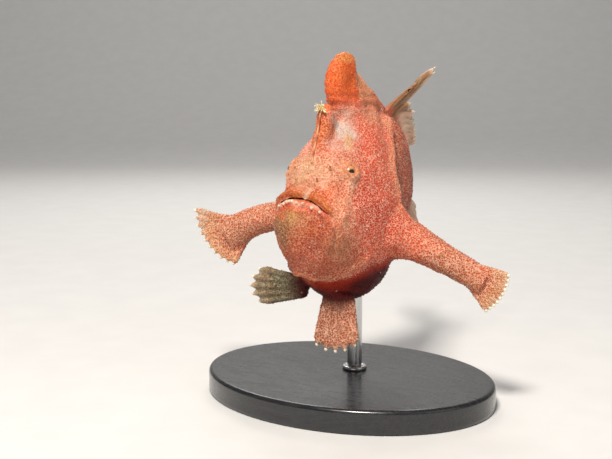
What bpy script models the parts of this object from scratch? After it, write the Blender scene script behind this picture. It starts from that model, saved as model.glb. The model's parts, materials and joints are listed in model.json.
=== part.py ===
"""A frogfish, life size, as a still display model on a plain stand.

The fish is shaped in its own frame, in millimetres: x to its left, y backwards from the front of
the mouth, z up from the line of the mouth. The body, arms and fleshy spines are lofts that are
fused, smoothed together, given lips and eye rings, and parted again by thin cuts into the nodes
a person would name. Each fin is a membrane whose rays are raised in its own surface, and its root
is cut to the flesh that it grows from. The finished nodes are in metres with +Z up, and the
origin is at the centre of the underside of the stand's base.
"""

import math

import bmesh
import bpy
import numpy as np
from mathutils import Matrix, Vector

MM = 0.001

# Driving sizes, millimetres
MOUTH_HEIGHT = 63.0
MOUTH_TO_STAND = 26.0
GAP = 0.3
VOXEL = 0.75
FLESH_FACES = 5400

# Body sections from chin to tail root: y, centre x, top z, bottom z, half width, z of that width,
# and how far the upper and the lower half narrow
BODY = (
    (-3.6, 0.0, -7.0, -8.0, 0.5, -7.5, 1.00, 1.00),
    (-3.0, 0.0, -3.4, -12.4, 5.0, -7.6, 1.00, 1.10),
    (-1.4, 0.0, -0.4, -17.2, 8.4, -7.8, 1.00, 1.20),
    (0.8, 0.0, 3.4, -20.8, 10.6, -7.8, 1.05, 1.25),
    (3.6, 0.0, 8.2, -23.6, 11.7, -7.8, 0.98, 1.25),
    (7.5, 0.0, 13.2, -26.6, 12.6, -7.8, 0.90, 1.20),
    (12.0, 0.0, 16.6, -29.6, 13.8, -8.0, 0.94, 1.15),
    (18.0, 0.0, 20.8, -32.2, 15.2, -8.5, 1.12, 1.05),
    (25.0, 0.0, 24.6, -33.0, 15.8, -8.5, 1.20, 1.00),
    (32.0, -0.2, 26.0, -31.6, 14.0, -7.5, 1.15, 1.00),
    (40.0, -0.6, 25.6, -28.0, 10.6, -6.0, 1.10, 1.00),
    (48.0, -1.0, 23.6, -22.6, 9.2, -4.0, 1.05, 1.00),
    (56.0, -1.6, 19.6, -16.4, 7.6, -2.0, 1.00, 1.00),
    (62.0, -2.8, 15.6, -12.0, 6.2, -1.0, 1.00, 1.00),
    (68.0, -4.9, 11.4, -8.8, 5.0, 0.0, 1.00, 1.00),
    (74.0, -7.8, 8.0, -6.8, 4.0, 0.3, 1.00, 1.00),
    (80.0, -11.4, 6.8, -6.2, 3.0, 0.3, 1.00, 1.00),
    (83.0, -13.4, 5.4, -5.0, 1.4, 0.3, 1.00, 1.00),
)

# Fleshy limbs and spines: x, y, z of the middle line, then the two half widths of the section
LEFT_ARM = (
    (6.0, 27.0, -10.6, 9.5, 10.5),
    (13.0, 29.0, -12.6, 8.4, 9.0),
    (18.5, 30.3, -14.6, 5.9, 6.2),
    (24.0, 31.2, -17.0, 4.6, 4.8),
    (30.5, 32.2, -19.9, 4.2, 4.0),
    (36.5, 33.0, -22.9, 4.0, 3.4),
    (41.0, 33.4, -25.4, 4.0, 3.0),
)
RIGHT_ARM = (
    (-6.0, 27.0, -9.0, 9.5, 10.5),
    (-13.0, 28.0, -9.2, 8.4, 9.0),
    (-18.5, 26.8, -8.8, 5.8, 6.0),
    (-24.0, 25.0, -9.0, 4.6, 4.8),
    (-30.5, 23.0, -10.6, 4.5, 4.2),
    (-36.0, 21.2, -13.4, 4.7, 3.6),
    (-40.5, 20.0, -16.6, 5.0, 3.0),
)
THIRD_SPINE = (
    (0.0, 26.0, 19.0, 5.6, 7.4),
    (0.0, 24.0, 25.0, 4.7, 6.9),
    (0.0, 21.4, 29.5, 4.1, 6.8),
    (0.0, 21.3, 33.4, 3.9, 6.6),
    (0.0, 23.0, 37.0, 3.3, 5.2),
    (0.0, 24.4, 39.4, 2.2, 3.2),
    (0.0, 25.0, 40.6, 0.6, 0.8),
)
THIRD_SPINE_FOLD = (
    (0.0, 22.0, 31.0, 1.6, 5.0),
    (0.0, 27.0, 29.6, 2.4, 6.0),
    (0.0, 32.5, 26.6, 2.8, 5.6),
    (0.0, 39.0, 24.0, 2.8, 4.8),
    (0.0, 46.0, 22.4, 2.2, 3.2),
    (0.0, 50.0, 21.4, 0.6, 1.0),
)
SECOND_SPINE = (
    (0.0, 8.2, 10.0, 3.4, 3.6),
    (0.0, 9.4, 14.5, 2.9, 2.9),
    (0.0, 10.8, 19.0, 2.5, 2.3),
    (0.0, 12.0, 22.6, 2.5, 2.2),
    (0.0, 12.8, 25.2, 1.8, 1.6),
    (0.0, 13.1, 26.2, 0.4, 0.4),
)

# Face
MOUTH_HALF = 8.8
MOUTH_DROP = 4.0
MOUTH_OPEN = 0.7
JAW_BACK = 6.5
LIP_RAISE = 0.9
LIP_OFF = 1.5
LIP_WIDE = 0.95
EYE = (9.0, 9.8, 7.0)
EYE_RADIUS = 1.95
EYE_RING = (0.6, 2.8, 0.7)
CHEEK_HOLLOW = ((10.6, 6.0, 1.2), 1.5, 4.2)
NOSTRILS = ((3.2, 1.5, 5.2), (5.6, 4.6, 8.4))
NOSTRIL_SIZE = (0.95, 0.6, 2.6)
NOSTRIL_HOLE = 0.3

# Thin cuts between the fleshy nodes: the middle of each, the way it faces, and its half sides
HEAD_TOP = (36.6, 27.0)
HEAD_BOTTOM = (11.4, -34.0)
CUTS = {
    "third spine": ((0.0, 33.8, 26.9), (0.0, -0.035, 1.0), (11.0, 18.2)),
    "second spine": ((0.0, 11.0, 20.6), (0.0, 0.0, 1.0), (6.0, 5.0)),
    "left shoulder": ((18.0, 30.0, -14.4), (0.93, 0.15, -0.33), (11.0, 11.0)),
    "right shoulder": ((-18.0, 27.0, -8.9), (-0.94, -0.33, -0.02), (11.0, 11.0)),
    "tail": ((-3.0, 63.0, 0.0), (-0.33, 0.94, 0.0), (14.0, 22.0)),
}
STUB = 9.0

# A point inside each fleshy node
FLESHY_NODES = {
    "head": (0.0, 14.0, 6.0),
    "lower_jaw": (0.0, 2.0, -12.0),
    "trunk": (0.0, 34.0, -8.0),
    "tail": (-8.0, 73.0, 1.0),
    "third_dorsal_spine": (0.0, 25.0, 33.0),
    "second_dorsal_spine": (0.0, 13.0, 23.0),
    "left_arm": (27.0, 31.5, -18.0),
    "right_arm": (-27.0, 24.0, -10.0),
}

# Fins spread from one root: rays, angles of the first and last ray from straight on, their
# lengths at the first, middle and last ray, and how far the tips curl out of the plane
LEFT_HAND = (10, (17.0, -16.0), (10.4, 11.6, 10.0), 2.0)
RIGHT_HAND = (10, (46.0, -28.0), (12.8, 12.6, 8.8), -2.0)
LEFT_PELVIC = (5, (8.0, -8.0), (14.0, 17.0, 14.5), 1.2)
RIGHT_PELVIC = (5, (12.0, -9.0), (13.4, 18.2, 14.6), 1.5)
LEFT_PELVIC_ROOT = ((4.4, 12.6, -28.6), (0.02, -0.15, -0.99), (0.85, 0.52, 0.0), (4.7, 2.4))
RIGHT_PELVIC_ROOT = ((-7.4, 14.2, -28.0), (-0.95, -0.30, -0.08), (0.0, -0.1, 1.0), (3.6, 2.2))

# Fins along the midline: rays, root line and tip line, x, y, z from the first ray to the last,
# and how far the rays bow at half length
SOFT_DORSAL = (
    12,
    ((-0.8, 47.0, 21.5), (-1.2, 55.0, 17.5), (-2.8, 63.0, 12.4), (-6.0, 71.0, 7.0)),
    ((9.0, 65.4, 35.6), (9.2, 62.0, 33.0), (5.8, 58.2, 26.8), (4.6, 60.4, 24.4), (3.2, 62.5, 21.2),
     (2.6, 64.5, 18.8), (1.8, 66.6, 16.8), (1.0, 69.0, 15.0), (-0.2, 71.2, 13.8), (-1.6, 73.6, 13.0),
     (-3.2, 76.0, 12.2), (-5.0, 78.4, 11.4)),
    (0.0, -0.6, 1.5),
)
ANAL = (
    7,
    ((-2.2, 58.5, -10.5), (-3.2, 64.0, -7.8), (-5.6, 70.0, -5.2)),
    ((4.6, 62.0, -15.0), (3.0, 69.0, -16.4), (-0.6, 75.0, -14.4), (-4.0, 80.0, -11.0)),
    (1.2, 0.0, 0.4),
)
CAUDAL = (
    9,
    ((-11.6, 79.5, 5.4), (-12.0, 80.2, 0.3), (-11.6, 79.5, -4.8)),
    ((-23.5, 93.0, 12.6), (-27.5, 98.0, 1.0), (-23.5, 93.0, -11.4)),
    (-0.6, 0.4, 0.0),
)
FIN_HALF = (0.62, 0.27)
RAY_HALF = (0.42, 0.20)
RAY_NOTCH = 0.13
FLARE = 0.1
EDGE_STEP = 1.3
FIN_ROWS = 7

# Lure
LURE_STALK = ((0.0, 4.4, 9.4), (0.0, 5.2, 13.2), (0.0, 6.6, 17.6), (0.0, 8.4, 22.6), (0.0, 9.4, 25.0))
LURE_RADIUS = 0.42
LURE_KNOB = 1.15
LURE_THREADS = 13
LURE_THREAD = (0.36, 0.14, 2.7)

# Stand
BASE_SIZE = (92.0, 72.0, 7.0)
BASE_BEVEL = 1.2
ROD_RADIUS = 2.25
ROD_AT = (0.0, 30.0)
ROD_TOP = -24.0

MATERIALS = {
    "skin": ((0.86, 0.36, 0.24), 0.55, 0.0),
    "spine": ((0.88, 0.30, 0.10), 0.55, 0.0),
    "fin": ((0.90, 0.62, 0.50), 0.50, 0.0),
    "eye": ((0.10, 0.06, 0.02), 0.12, 0.0),
    "base": ((0.05, 0.05, 0.055), 0.45, 0.0),
    "rod": ((0.60, 0.60, 0.60), 0.30, 1.0),
}


def clear_scene():
    """Empty the file of objects, meshes and materials."""
    for obj in list(bpy.data.objects):
        bpy.data.objects.remove(obj)
    for mesh in list(bpy.data.meshes):
        bpy.data.meshes.remove(mesh)
    for material in list(bpy.data.materials):
        bpy.data.materials.remove(material)


def new_collection(name, hidden=False):
    """A collection in the scene, left out of the render when it holds cutters."""
    made = bpy.data.collections.new(name)
    bpy.context.scene.collection.children.link(made)
    made.hide_render = hidden
    return made


def place(points):
    """Points of the fish's frame, in millimetres, moved to the stand's frame in metres."""
    return (np.asarray(points, float) + (0.0, -MOUTH_TO_STAND, MOUTH_HEIGHT)) * MM


def new_object(name, points, faces, collection):
    """A mesh object from points in the fish's frame, its faces turned outwards."""
    mesh = bpy.data.meshes.new(name)
    mesh.from_pydata(place(points).tolist(), [], faces)
    turned = bmesh.new()
    turned.from_mesh(mesh)
    bmesh.ops.recalc_face_normals(turned, faces=turned.faces)
    turned.to_mesh(mesh)
    turned.free()
    obj = bpy.data.objects.new(name, mesh)
    collection.objects.link(obj)
    return obj


def evaluated_mesh(obj):
    """The object's mesh with its modifiers, as a new mesh."""
    bpy.context.view_layer.update()
    graph = bpy.context.evaluated_depsgraph_get()
    return bpy.data.meshes.new_from_object(obj.evaluated_get(graph))


def apply_modifiers(obj):
    """Give the object its evaluated mesh and drop its modifiers."""
    mesh = evaluated_mesh(obj)
    obj.modifiers.clear()
    old = obj.data
    obj.data = mesh
    bpy.data.meshes.remove(old)
    return obj


def boolean(obj, operation, others, solver="EXACT"):
    """Apply one Boolean with every object of a collection, and remove those objects."""
    change = obj.modifiers.new(operation.title(), "BOOLEAN")
    change.operation = operation
    change.operand_type = "COLLECTION"
    change.collection = others
    change.solver = solver
    apply_modifiers(obj)
    for other in list(others.objects):
        bpy.data.objects.remove(other)
    return obj


def smooth_rows(rows, steps):
    """Rows of a table with smooth in-between rows, a cubic through each neighbouring four."""
    rows = np.asarray(rows, float)
    padded = np.vstack([2 * rows[0] - rows[1], rows, 2 * rows[-1] - rows[-2]])
    before, start, end, after = padded[:-3], padded[1:-2], padded[2:-1], padded[3:]
    t = (np.arange(steps) / steps)[None, :, None]
    before, start, end, after = (part[:, None, :] for part in (before, start, end, after))
    between = 0.5 * (
        2 * start
        + (end - before) * t
        + (2 * before - 5 * start + 4 * end - after) * t**2
        + (3 * start - before - 3 * end + after) * t**3
    )
    return np.vstack([between.reshape(-1, rows.shape[1]), rows[-1:]])


def loft(name, sections, collection):
    """A closed skin over rings of points, with a point in the middle of each end."""
    count, around = sections.shape[:2]
    ends = [sections[0].mean(axis=0), sections[-1].mean(axis=0)]
    points = np.vstack([sections.reshape(-1, 3), ends])
    faces = []
    for row in range(count - 1):
        for column in range(around):
            here, beside = row * around + column, row * around + (column + 1) % around
            faces.append((here, beside, beside + around, here + around))
    last = (count - 1) * around
    for column in range(around):
        beside = (column + 1) % around
        faces.append((beside, column, count * around))
        faces.append((last + column, last + beside, count * around + 1))
    return new_object(name, points, faces, collection)


def signed_power(value, power):
    """A power that keeps its sign, which squares or pinches a round section."""
    return np.sign(value) * np.abs(value) ** power


def body_sections():
    """Rings of the body: egg outlines whose halves narrow as the table says."""
    rows = smooth_rows(BODY, 4)
    angle = np.linspace(0, 2 * math.pi, 56, endpoint=False)
    y, middle, top, bottom, half, level, upper, lower = (rows[:, i, None] for i in range(8))
    across = signed_power(np.cos(angle), np.where(np.sin(angle) > 0, upper, lower))
    height = np.where(np.sin(angle) > 0, top - level, level - bottom) * np.sin(angle)
    return np.stack([middle + half * across, y + 0 * across, level + height], axis=-1)


def limb_sections(rows, up, around=24):
    """Rings of a limb: ellipses square to its middle line, the first half width towards up."""
    rows = smooth_rows(rows, 4)
    middle = rows[:, :3]
    along = np.gradient(middle, axis=0)
    along /= np.linalg.norm(along, axis=1)[:, None]
    side = np.cross(along, up)
    side /= np.linalg.norm(side, axis=1)[:, None]
    rise = np.cross(side, along)
    angle = np.linspace(0, 2 * math.pi, around, endpoint=False)[None, :, None]
    return (
        middle[:, None]
        + rise[:, None] * rows[:, None, 3:4] * np.cos(angle)
        + side[:, None] * rows[:, None, 4:5] * np.sin(angle)
    )


def mouth_line(x):
    """Height of the mouth line at x: highest in the middle, drooping to both corners."""
    return -MOUTH_DROP * (np.asarray(x) / MOUTH_HALF) ** 2


def raise_relief(points, normals):
    """The flesh with lips along the mouth, a ring round each eye and a hollow before each cheek."""
    x, y, z = points.T
    off = z - mouth_line(x)
    fade = np.clip((MOUTH_HALF + 1.5 - np.abs(x)) / 3.0, 0, 1) * np.clip((9.0 - y) / 3.0, 0, 1)
    lip = np.exp(-(((np.abs(off) - LIP_OFF) / LIP_WIDE) ** 2))
    seam = np.exp(-((off / 0.8) ** 2))
    out = fade * (LIP_RAISE * lip - 0.6 * seam)
    height, radius, width = EYE_RING
    hollow, depth, spread = CHEEK_HOLLOW
    for side in (1, -1):
        away = np.linalg.norm(points - (side * EYE[0], *EYE[1:]), axis=1)
        out += height * np.exp(-(((away - radius) / width) ** 2))
        away = np.linalg.norm(points - (side * hollow[0], *hollow[1:]), axis=1)
        out -= depth * np.exp(-((away / spread) ** 2))
    return points + normals * out[:, None]


def fused_flesh(collection):
    """Body, arms and fleshy spines as one smooth closed mesh with its face."""
    body = loft("flesh", body_sections(), collection)
    parts = new_collection("fused")
    loft("left", limb_sections(LEFT_ARM, (0, 0, 1)), parts)
    loft("right", limb_sections(RIGHT_ARM, (0, 0, 1)), parts)
    loft("third", limb_sections(THIRD_SPINE, (1, 0, 0)), parts)
    loft("fold", limb_sections(THIRD_SPINE_FOLD, (1, 0, 0)), parts)
    loft("second", limb_sections(SECOND_SPINE, (1, 0, 0)), parts)
    boolean(body, "UNION", parts)
    bpy.data.collections.remove(parts)
    blend = body.modifiers.new("Blend", "REMESH")
    blend.mode = "VOXEL"
    blend.voxel_size = VOXEL * MM
    soften = body.modifiers.new("Soften", "SMOOTH")
    soften.factor = 0.5
    soften.iterations = 8
    apply_modifiers(body)
    mesh = body.data
    points = np.empty(len(mesh.vertices) * 3)
    normals = np.empty(len(mesh.vertices) * 3)
    mesh.vertices.foreach_get("co", points)
    mesh.vertices.foreach_get("normal", normals)
    inner = points.reshape(-1, 3) / MM - (0.0, -MOUTH_TO_STAND, MOUTH_HEIGHT)
    mesh.vertices.foreach_set("co", place(raise_relief(inner, normals.reshape(-1, 3))).ravel())
    thin = body.modifiers.new("Fewer faces", "DECIMATE")
    thin.ratio = FLESH_FACES / (2 * len(mesh.polygons))
    thin.use_collapse_triangulate = True
    return apply_modifiers(body)


def sheet(name, middle, normal, half, collection):
    """A closed sheet over a grid of points, as thick as the grid says, triangles alike on both faces."""
    wide, deep = half.shape
    points = np.vstack([(middle + side * normal * half[..., None]).reshape(-1, 3) for side in (1, -1)])
    under = wide * deep
    faces = []
    for i in range(wide - 1):
        for j in range(deep - 1):
            a, b = i * deep + j, (i + 1) * deep + j
            faces += [(a, b, b + 1), (a, b + 1, a + 1)]
            faces += [(a + under, b + 1 + under, b + under), (a + under, a + 1 + under, b + 1 + under)]
    rim = [i * deep for i in range(wide)]
    rim += [(wide - 1) * deep + j for j in range(1, deep)]
    rim += [i * deep + deep - 1 for i in range(wide - 2, -1, -1)]
    rim += list(range(deep - 2, 0, -1))
    for here, beside in zip(rim, rim[1:] + rim[:1]):
        faces.append((here, beside, beside + under))
        faces.append((here, beside + under, here + under))
    return new_object(name, points, faces, collection)


def ray_columns(rays):
    """Places across a fin, and 1 on each ray and 0 on the membrane between."""
    across = np.linspace(0, 1, 2 * rays + 1)
    return across, np.arange(2 * rays + 1) % 2


def fin(name, roots, tips, on_ray, root_half, bend, collection):
    """A membrane from a line of roots to a line of tips, its rays raised in its own surface."""
    curl, bow = bend
    along = np.linspace(0, 1, FIN_ROWS)[None, :, None] ** 0.9
    reach = (tips - roots)[:, None] * (1 - RAY_NOTCH * (1 - on_ray[:, None, None]))
    bow = np.broadcast_to(bow, roots.shape)[:, None]
    middle = roots[:, None] + reach * along + bow * 4 * along * (1 - along)
    across = np.gradient(middle, axis=0)
    outward = np.gradient(middle, axis=1)
    normal = np.cross(across, outward)
    normal /= np.linalg.norm(normal, axis=2)[..., None]
    middle = middle + normal * curl * along**2
    v = along[..., 0]
    membrane = FIN_HALF[0] + (FIN_HALF[1] - FIN_HALF[0]) * v
    ridge = RAY_HALF[0] + (RAY_HALF[1] - RAY_HALF[0]) * v
    half = membrane + ridge * on_ray[:, None] * np.clip(v * 4, 0, 1)
    half = np.maximum(half, root_half[:, None] * (1 - np.clip(v / 0.7, 0, 1)) ** 1.5)
    return sheet(name, middle, normal, half, collection)


def fan_fin(name, root, shape, collection):
    """A fin whose rays spread from one narrow root, as on a hand."""
    middle, forward, side, (root_wide, root_half) = root
    rays, (first, last), lengths, curl = shape
    forward = np.array(forward) / np.linalg.norm(forward)
    side = np.array(side) - forward * np.dot(side, forward)
    side /= np.linalg.norm(side)
    across, on_ray = ray_columns(rays)
    turn = np.radians(first + (last - first) * across)[:, None]
    length = np.polyval(np.polyfit((0, 0.5, 1), lengths, 2), across)[:, None]
    spot = (1 - 2 * across)[:, None]
    roots = np.array(middle) + side * root_wide * spot
    tips = roots + (np.cos(turn) * forward + np.sin(turn) * side) * length
    flare = side * np.sin(turn) * length * -FLARE
    thick = root_half * np.sqrt(np.maximum(1 - spot[:, 0] ** 2, 0.02))
    return fin(name, roots, tips, on_ray, thick, (curl, flare), collection)


def line_at(rows, across):
    """Points at even places along a smooth line through a table's rows."""
    line = smooth_rows(rows, 12)
    spots = np.linspace(0, 1, len(line))
    return np.stack([np.interp(across, spots, line[:, i]) for i in range(3)], axis=1)


def edge_tip(roots, tips, last, before):
    """Tip of the membrane's free edge, set off sideways from the last ray, away from the one before."""
    ray = tips[last] - roots[last]
    step = tips[last] - tips[before]
    step = step - ray * np.dot(step, ray) / np.dot(ray, ray)
    return tips[last] + step / np.linalg.norm(step) * EDGE_STEP


def midline_fin(name, shape, root_half, curl, collection):
    """A fin along the midline, its membrane no longer than the shorter ray beside it."""
    rays, root_rows, tip_rows, bow = shape
    across, on_ray = ray_columns(rays)
    roots = line_at(root_rows, across)
    tips = line_at(tip_rows, np.clip((across * 2 * rays - 1) / (2 * rays - 2), 0, 1))
    tips[0] = edge_tip(roots, tips, 1, 3)
    tips[-1] = edge_tip(roots, tips, -2, -4)
    reach = np.linalg.norm(tips - roots, axis=1)
    beside = np.minimum(np.append(reach[1:], np.inf), np.append(np.inf, reach[:-1]))
    shorter = np.where(on_ray == 1, 1, np.minimum(beside / reach, 1))
    tips = roots + (tips - roots) * shorter[:, None]
    return fin(name, roots, tips, on_ray, root_half + 0 * across, (curl, bow), collection)


def end_frame(rows, up=(0.0, 0.0, 1.0)):
    """Root of a hand: the limb's last cut but one, its direction and its widths there."""
    rows = np.asarray(rows)
    middle, forward = rows[-2, :3], rows[-1, :3] - rows[-2, :3]
    forward = forward / np.linalg.norm(forward)
    side = np.array(up) - forward * np.dot(up, forward)
    return middle, forward, side / np.linalg.norm(side), (rows[-2, 3], rows[-2, 4])


def slab(name, middle, facing, half_sides, thick, collection):
    """A thin flat cutter, square to the way it faces."""
    mesh = bpy.data.meshes.new(name)
    shape = bmesh.new()
    bmesh.ops.create_cube(shape, size=2.0)
    size = Vector((half_sides[0], half_sides[1], thick / 2)) * MM
    bmesh.ops.scale(shape, vec=size, verts=shape.verts)
    shape.to_mesh(mesh)
    shape.free()
    obj = bpy.data.objects.new(name, mesh)
    facing = Vector(facing).normalized()
    sideways = Vector((1, 0, 0)) if abs(facing.x) < 0.7 else Vector((0, 1, 0))
    second = facing.cross(sideways).normalized()
    first = second.cross(facing)
    turn = Matrix((first, second, facing)).transposed().to_4x4()
    obj.matrix_world = Matrix.Translation(place(middle)) @ turn
    collection.objects.link(obj)
    return obj


def ball(name, middle, radius, collection, across=16, rows=9):
    """A round solid."""
    mesh = bpy.data.meshes.new(name)
    shape = bmesh.new()
    bmesh.ops.create_uvsphere(shape, u_segments=across, v_segments=rows, radius=radius * MM)
    shape.to_mesh(mesh)
    shape.free()
    obj = bpy.data.objects.new(name, mesh)
    obj.location = place(middle)
    collection.objects.link(obj)
    return obj


def spike(name, foot, direction, sizes, collection, sides=6):
    """A tapered round peg from its foot along a direction."""
    foot_radius, tip_radius, length = sizes
    mesh = bpy.data.meshes.new(name)
    shape = bmesh.new()
    bmesh.ops.create_cone(
        shape, cap_ends=True, segments=sides, radius1=foot_radius * MM,
        radius2=tip_radius * MM, depth=length * MM,
    )
    shape.to_mesh(mesh)
    shape.free()
    obj = bpy.data.objects.new(name, mesh)
    direction = Vector(direction).normalized()
    middle = Vector(place(foot)) + direction * length * MM / 2
    obj.matrix_world = Matrix.Translation(middle) @ direction.to_track_quat("Z", "Y").to_matrix().to_4x4()
    collection.objects.link(obj)
    return obj


def nostril_frames():
    """Foot and direction of each nostril tube, outwards and a little up from the snout."""
    for x, y, z in NOSTRILS:
        for side in (1, -1):
            yield (side * (x - 0.5), y + 1.4, z - 0.6), (side * 0.55, -0.75, 0.45)


def mouth_cutters(collection):
    """The open line of the mouth, and the cut behind the lower jaw that joins it."""
    x = np.linspace(-16, 16, 33)[:, None]
    y = np.array([-9.0, JAW_BACK - GAP / 2])[None, :]
    slope = 2 * MOUTH_DROP * x / MOUTH_HALF**2
    normal = np.stack([slope + 0 * y, 0 * x * y, 1 + 0 * x * y], axis=-1)
    normal /= np.linalg.norm(normal, axis=-1)[..., None]
    middle = np.stack([x + 0 * y, y + 0 * x, mouth_line(x) + 0 * y], axis=-1)
    closing = np.clip((np.abs(x) - MOUTH_HALF) / 2, 0, 1)
    half = (MOUTH_OPEN + (GAP - MOUTH_OPEN) * closing) / 2 + 0 * y
    sheet("mouth", middle, normal, half, collection)
    low = np.array([-42.0, 0.0])[None, :]
    height = np.where(low < 0, low + 0 * x, mouth_line(x) + 0 * low)
    back = np.stack([x + 0 * low, JAW_BACK + 0 * x + 0 * low, height], axis=-1)
    facing = np.zeros_like(back)
    facing[..., 1] = 1
    sheet("jaw back", back, facing, np.full(height.shape, GAP / 2), collection)


def flesh_cutters(collection):
    """Every thin cut of the flesh, with the eye sockets and the holes of the nostrils."""
    mouth_cutters(collection)
    for name, (middle, facing, sides) in CUTS.items():
        slab(name, middle, facing, sides, GAP, collection)
    top, bottom = np.array(HEAD_TOP), np.array(HEAD_BOTTOM)
    middle, half = (top + bottom) / 2, np.linalg.norm(top - bottom) / 2
    slope = (top - bottom) / (2 * half)
    slab("neck", (0, *middle), (0, slope[1], -slope[0]), (20.0, half), GAP, collection)
    for name, rows in (("left wrist", LEFT_ARM), ("right wrist", RIGHT_ARM)):
        middle, forward = end_frame(rows)[:2]
        slab(name, middle + forward * (STUB / 2), forward, (9.0, 9.0), STUB, collection)
    for side in (1, -1):
        ball("socket", (side * EYE[0], *EYE[1:]), EYE_RADIUS + GAP, collection)
    for foot, direction in nostril_frames():
        spike("hole", foot, direction, (NOSTRIL_HOLE, NOSTRIL_HOLE, 4.0), collection)
    for cutter in collection.objects:
        cutter.display_type = "WIRE"


def islands(mesh):
    """The mesh's separate closed surfaces, each as a new mesh, largest first."""
    whole = bmesh.new()
    whole.from_mesh(mesh)
    whole.verts.index_update()
    left, found = set(whole.verts), []
    while left:
        seed = left.pop()
        group, edge = {seed}, [seed]
        while edge:
            near = {link.other_vert(vert) for vert in edge for link in vert.link_edges} - group
            group |= near
            edge = list(near)
        left -= group
        found.append(group)
    found.sort(key=len, reverse=True)
    meshes = []
    for group in found:
        order = {vert: number for number, vert in enumerate(sorted(group, key=lambda v: v.index))}
        faces = [[order[v] for v in face.verts] for face in whole.faces if face.verts[0] in order]
        piece = bpy.data.meshes.new("piece")
        piece.from_pydata([vert.co.copy() for vert in order], [], faces)
        meshes.append(piece)
    whole.free()
    return meshes


def keep_largest(obj):
    """Keep only the object's largest closed surface."""
    obj.data = islands(obj.data)[0]
    return obj


def triangulate(obj):
    """Split the object's faces into triangles."""
    shape = bmesh.new()
    shape.from_mesh(obj.data)
    bmesh.ops.triangulate(shape, faces=shape.faces)
    shape.to_mesh(obj.data)
    shape.free()


def grown(flesh):
    """The flesh, larger all round by the gap that neighbours keep."""
    cutter = bpy.data.objects.new("grown", flesh.data.copy())
    count = len(cutter.data.vertices)
    points, normals = np.empty(count * 3), np.empty(count * 3)
    cutter.data.vertices.foreach_get("co", points)
    cutter.data.vertices.foreach_get("normal", normals)
    cutter.data.vertices.foreach_set("co", points + normals * GAP * MM)
    cutter.data.update()
    return cutter


def cut_by(obj, cutter):
    """Take the cutter's space away from the object, and keep the largest piece left."""
    hold = new_collection("hold", hidden=True)
    copy = bpy.data.objects.new("copy", cutter.data)
    copy.display_type = "WIRE"
    hold.objects.link(copy)
    boolean(obj, "DIFFERENCE", hold)
    bpy.data.collections.remove(hold)
    return keep_largest(obj)


def part_flesh(flesh, collection):
    """Cut the flesh by the thin cutters and name each piece by the point it holds."""
    tubes = new_collection("tubes")
    for foot, direction in nostril_frames():
        spike("tube", foot, direction, NOSTRIL_SIZE, tubes, 8)
    boolean(flesh, "UNION", tubes)
    bpy.data.collections.remove(tubes)
    flesh_cutters(CUTTERS)
    boolean(flesh, "DIFFERENCE", CUTTERS)
    pieces = islands(flesh.data)
    made = []
    for name, point in FLESHY_NODES.items():
        spot = Vector(place(point))
        middles = [sum((v.co for v in piece.vertices), Vector()) / len(piece.vertices) for piece in pieces]
        nearest = min(range(len(pieces)), key=lambda number: (middles[number] - spot).length)
        node = bpy.data.objects.new(name, pieces.pop(nearest))
        collection.objects.link(node)
        made.append(node)
    bpy.data.objects.remove(flesh)
    return made


def lure(collection):
    """The lure: a stalk laid along the front of the second spine, with a tuft of threads."""
    path = bpy.data.curves.new("stalk", "CURVE")
    path.dimensions = "3D"
    path.bevel_depth = LURE_RADIUS * MM
    path.bevel_resolution = 1
    path.use_fill_caps = True
    points = place(smooth_rows(LURE_STALK, 2))
    line = path.splines.new("POLY")
    line.points.add(len(points) - 1)
    line.points.foreach_set("co", np.hstack([points, np.ones((len(points), 1))]).ravel())
    curve = bpy.data.objects.new("stalk", path)
    collection.objects.link(curve)
    mesh = evaluated_mesh(curve)
    bpy.data.objects.remove(curve)
    closed = bmesh.new()
    closed.from_mesh(mesh)
    bmesh.ops.remove_doubles(closed, verts=closed.verts, dist=0.01 * MM)
    bmesh.ops.recalc_face_normals(closed, faces=closed.faces)
    closed.to_mesh(mesh)
    closed.free()
    stalk = bpy.data.objects.new("illicium", mesh)
    collection.objects.link(stalk)
    parts = new_collection("tuft")
    tip = np.array(LURE_STALK[-1])
    ball("knob", tip, LURE_KNOB, parts, 10, 6)
    for number in range(LURE_THREADS):
        turn = number * 2.4
        rise = 1 - 1.7 * (number + 0.5) / LURE_THREADS
        flat = math.sqrt(1 - rise * rise)
        way = np.array((math.cos(turn) * flat, -abs(math.sin(turn)) * flat, rise))
        foot_radius, tip_radius, length = LURE_THREAD
        length *= 0.85 + 0.3 * ((number * 7) % 5) / 4
        spike("thread", tip + way * 0.6, way, (foot_radius, tip_radius, length), parts, 5)
    boolean(stalk, "UNION", parts)
    bpy.data.collections.remove(parts)
    return stalk


def stand(collection):
    """The stand's oval base and its rod, before the rod is cut to the belly."""
    wide, deep, high = (size * MM for size in BASE_SIZE)
    mesh = bpy.data.meshes.new("stand_base")
    shape = bmesh.new()
    bmesh.ops.create_cone(shape, cap_ends=True, segments=56, radius1=0.5, radius2=0.5, depth=1.0)
    bmesh.ops.scale(shape, vec=(wide, deep, high), verts=shape.verts)
    bmesh.ops.translate(shape, vec=(0, 0, high / 2), verts=shape.verts)
    shape.to_mesh(mesh)
    shape.free()
    base = bpy.data.objects.new("stand_base", mesh)
    collection.objects.link(base)
    edge = base.modifiers.new("Rounded edge", "BEVEL")
    edge.width = BASE_BEVEL * MM
    edge.segments = 1
    edge.angle_limit = math.radians(40)
    foot = BASE_SIZE[2] + GAP - MOUTH_HEIGHT
    spot = (ROD_AT[0], ROD_AT[1], foot)
    sizes = (ROD_RADIUS, ROD_RADIUS, ROD_TOP - foot)
    rod = spike("stand_rod", spot, (0, 0, 1), sizes, collection, 24)
    return base, rod


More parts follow.
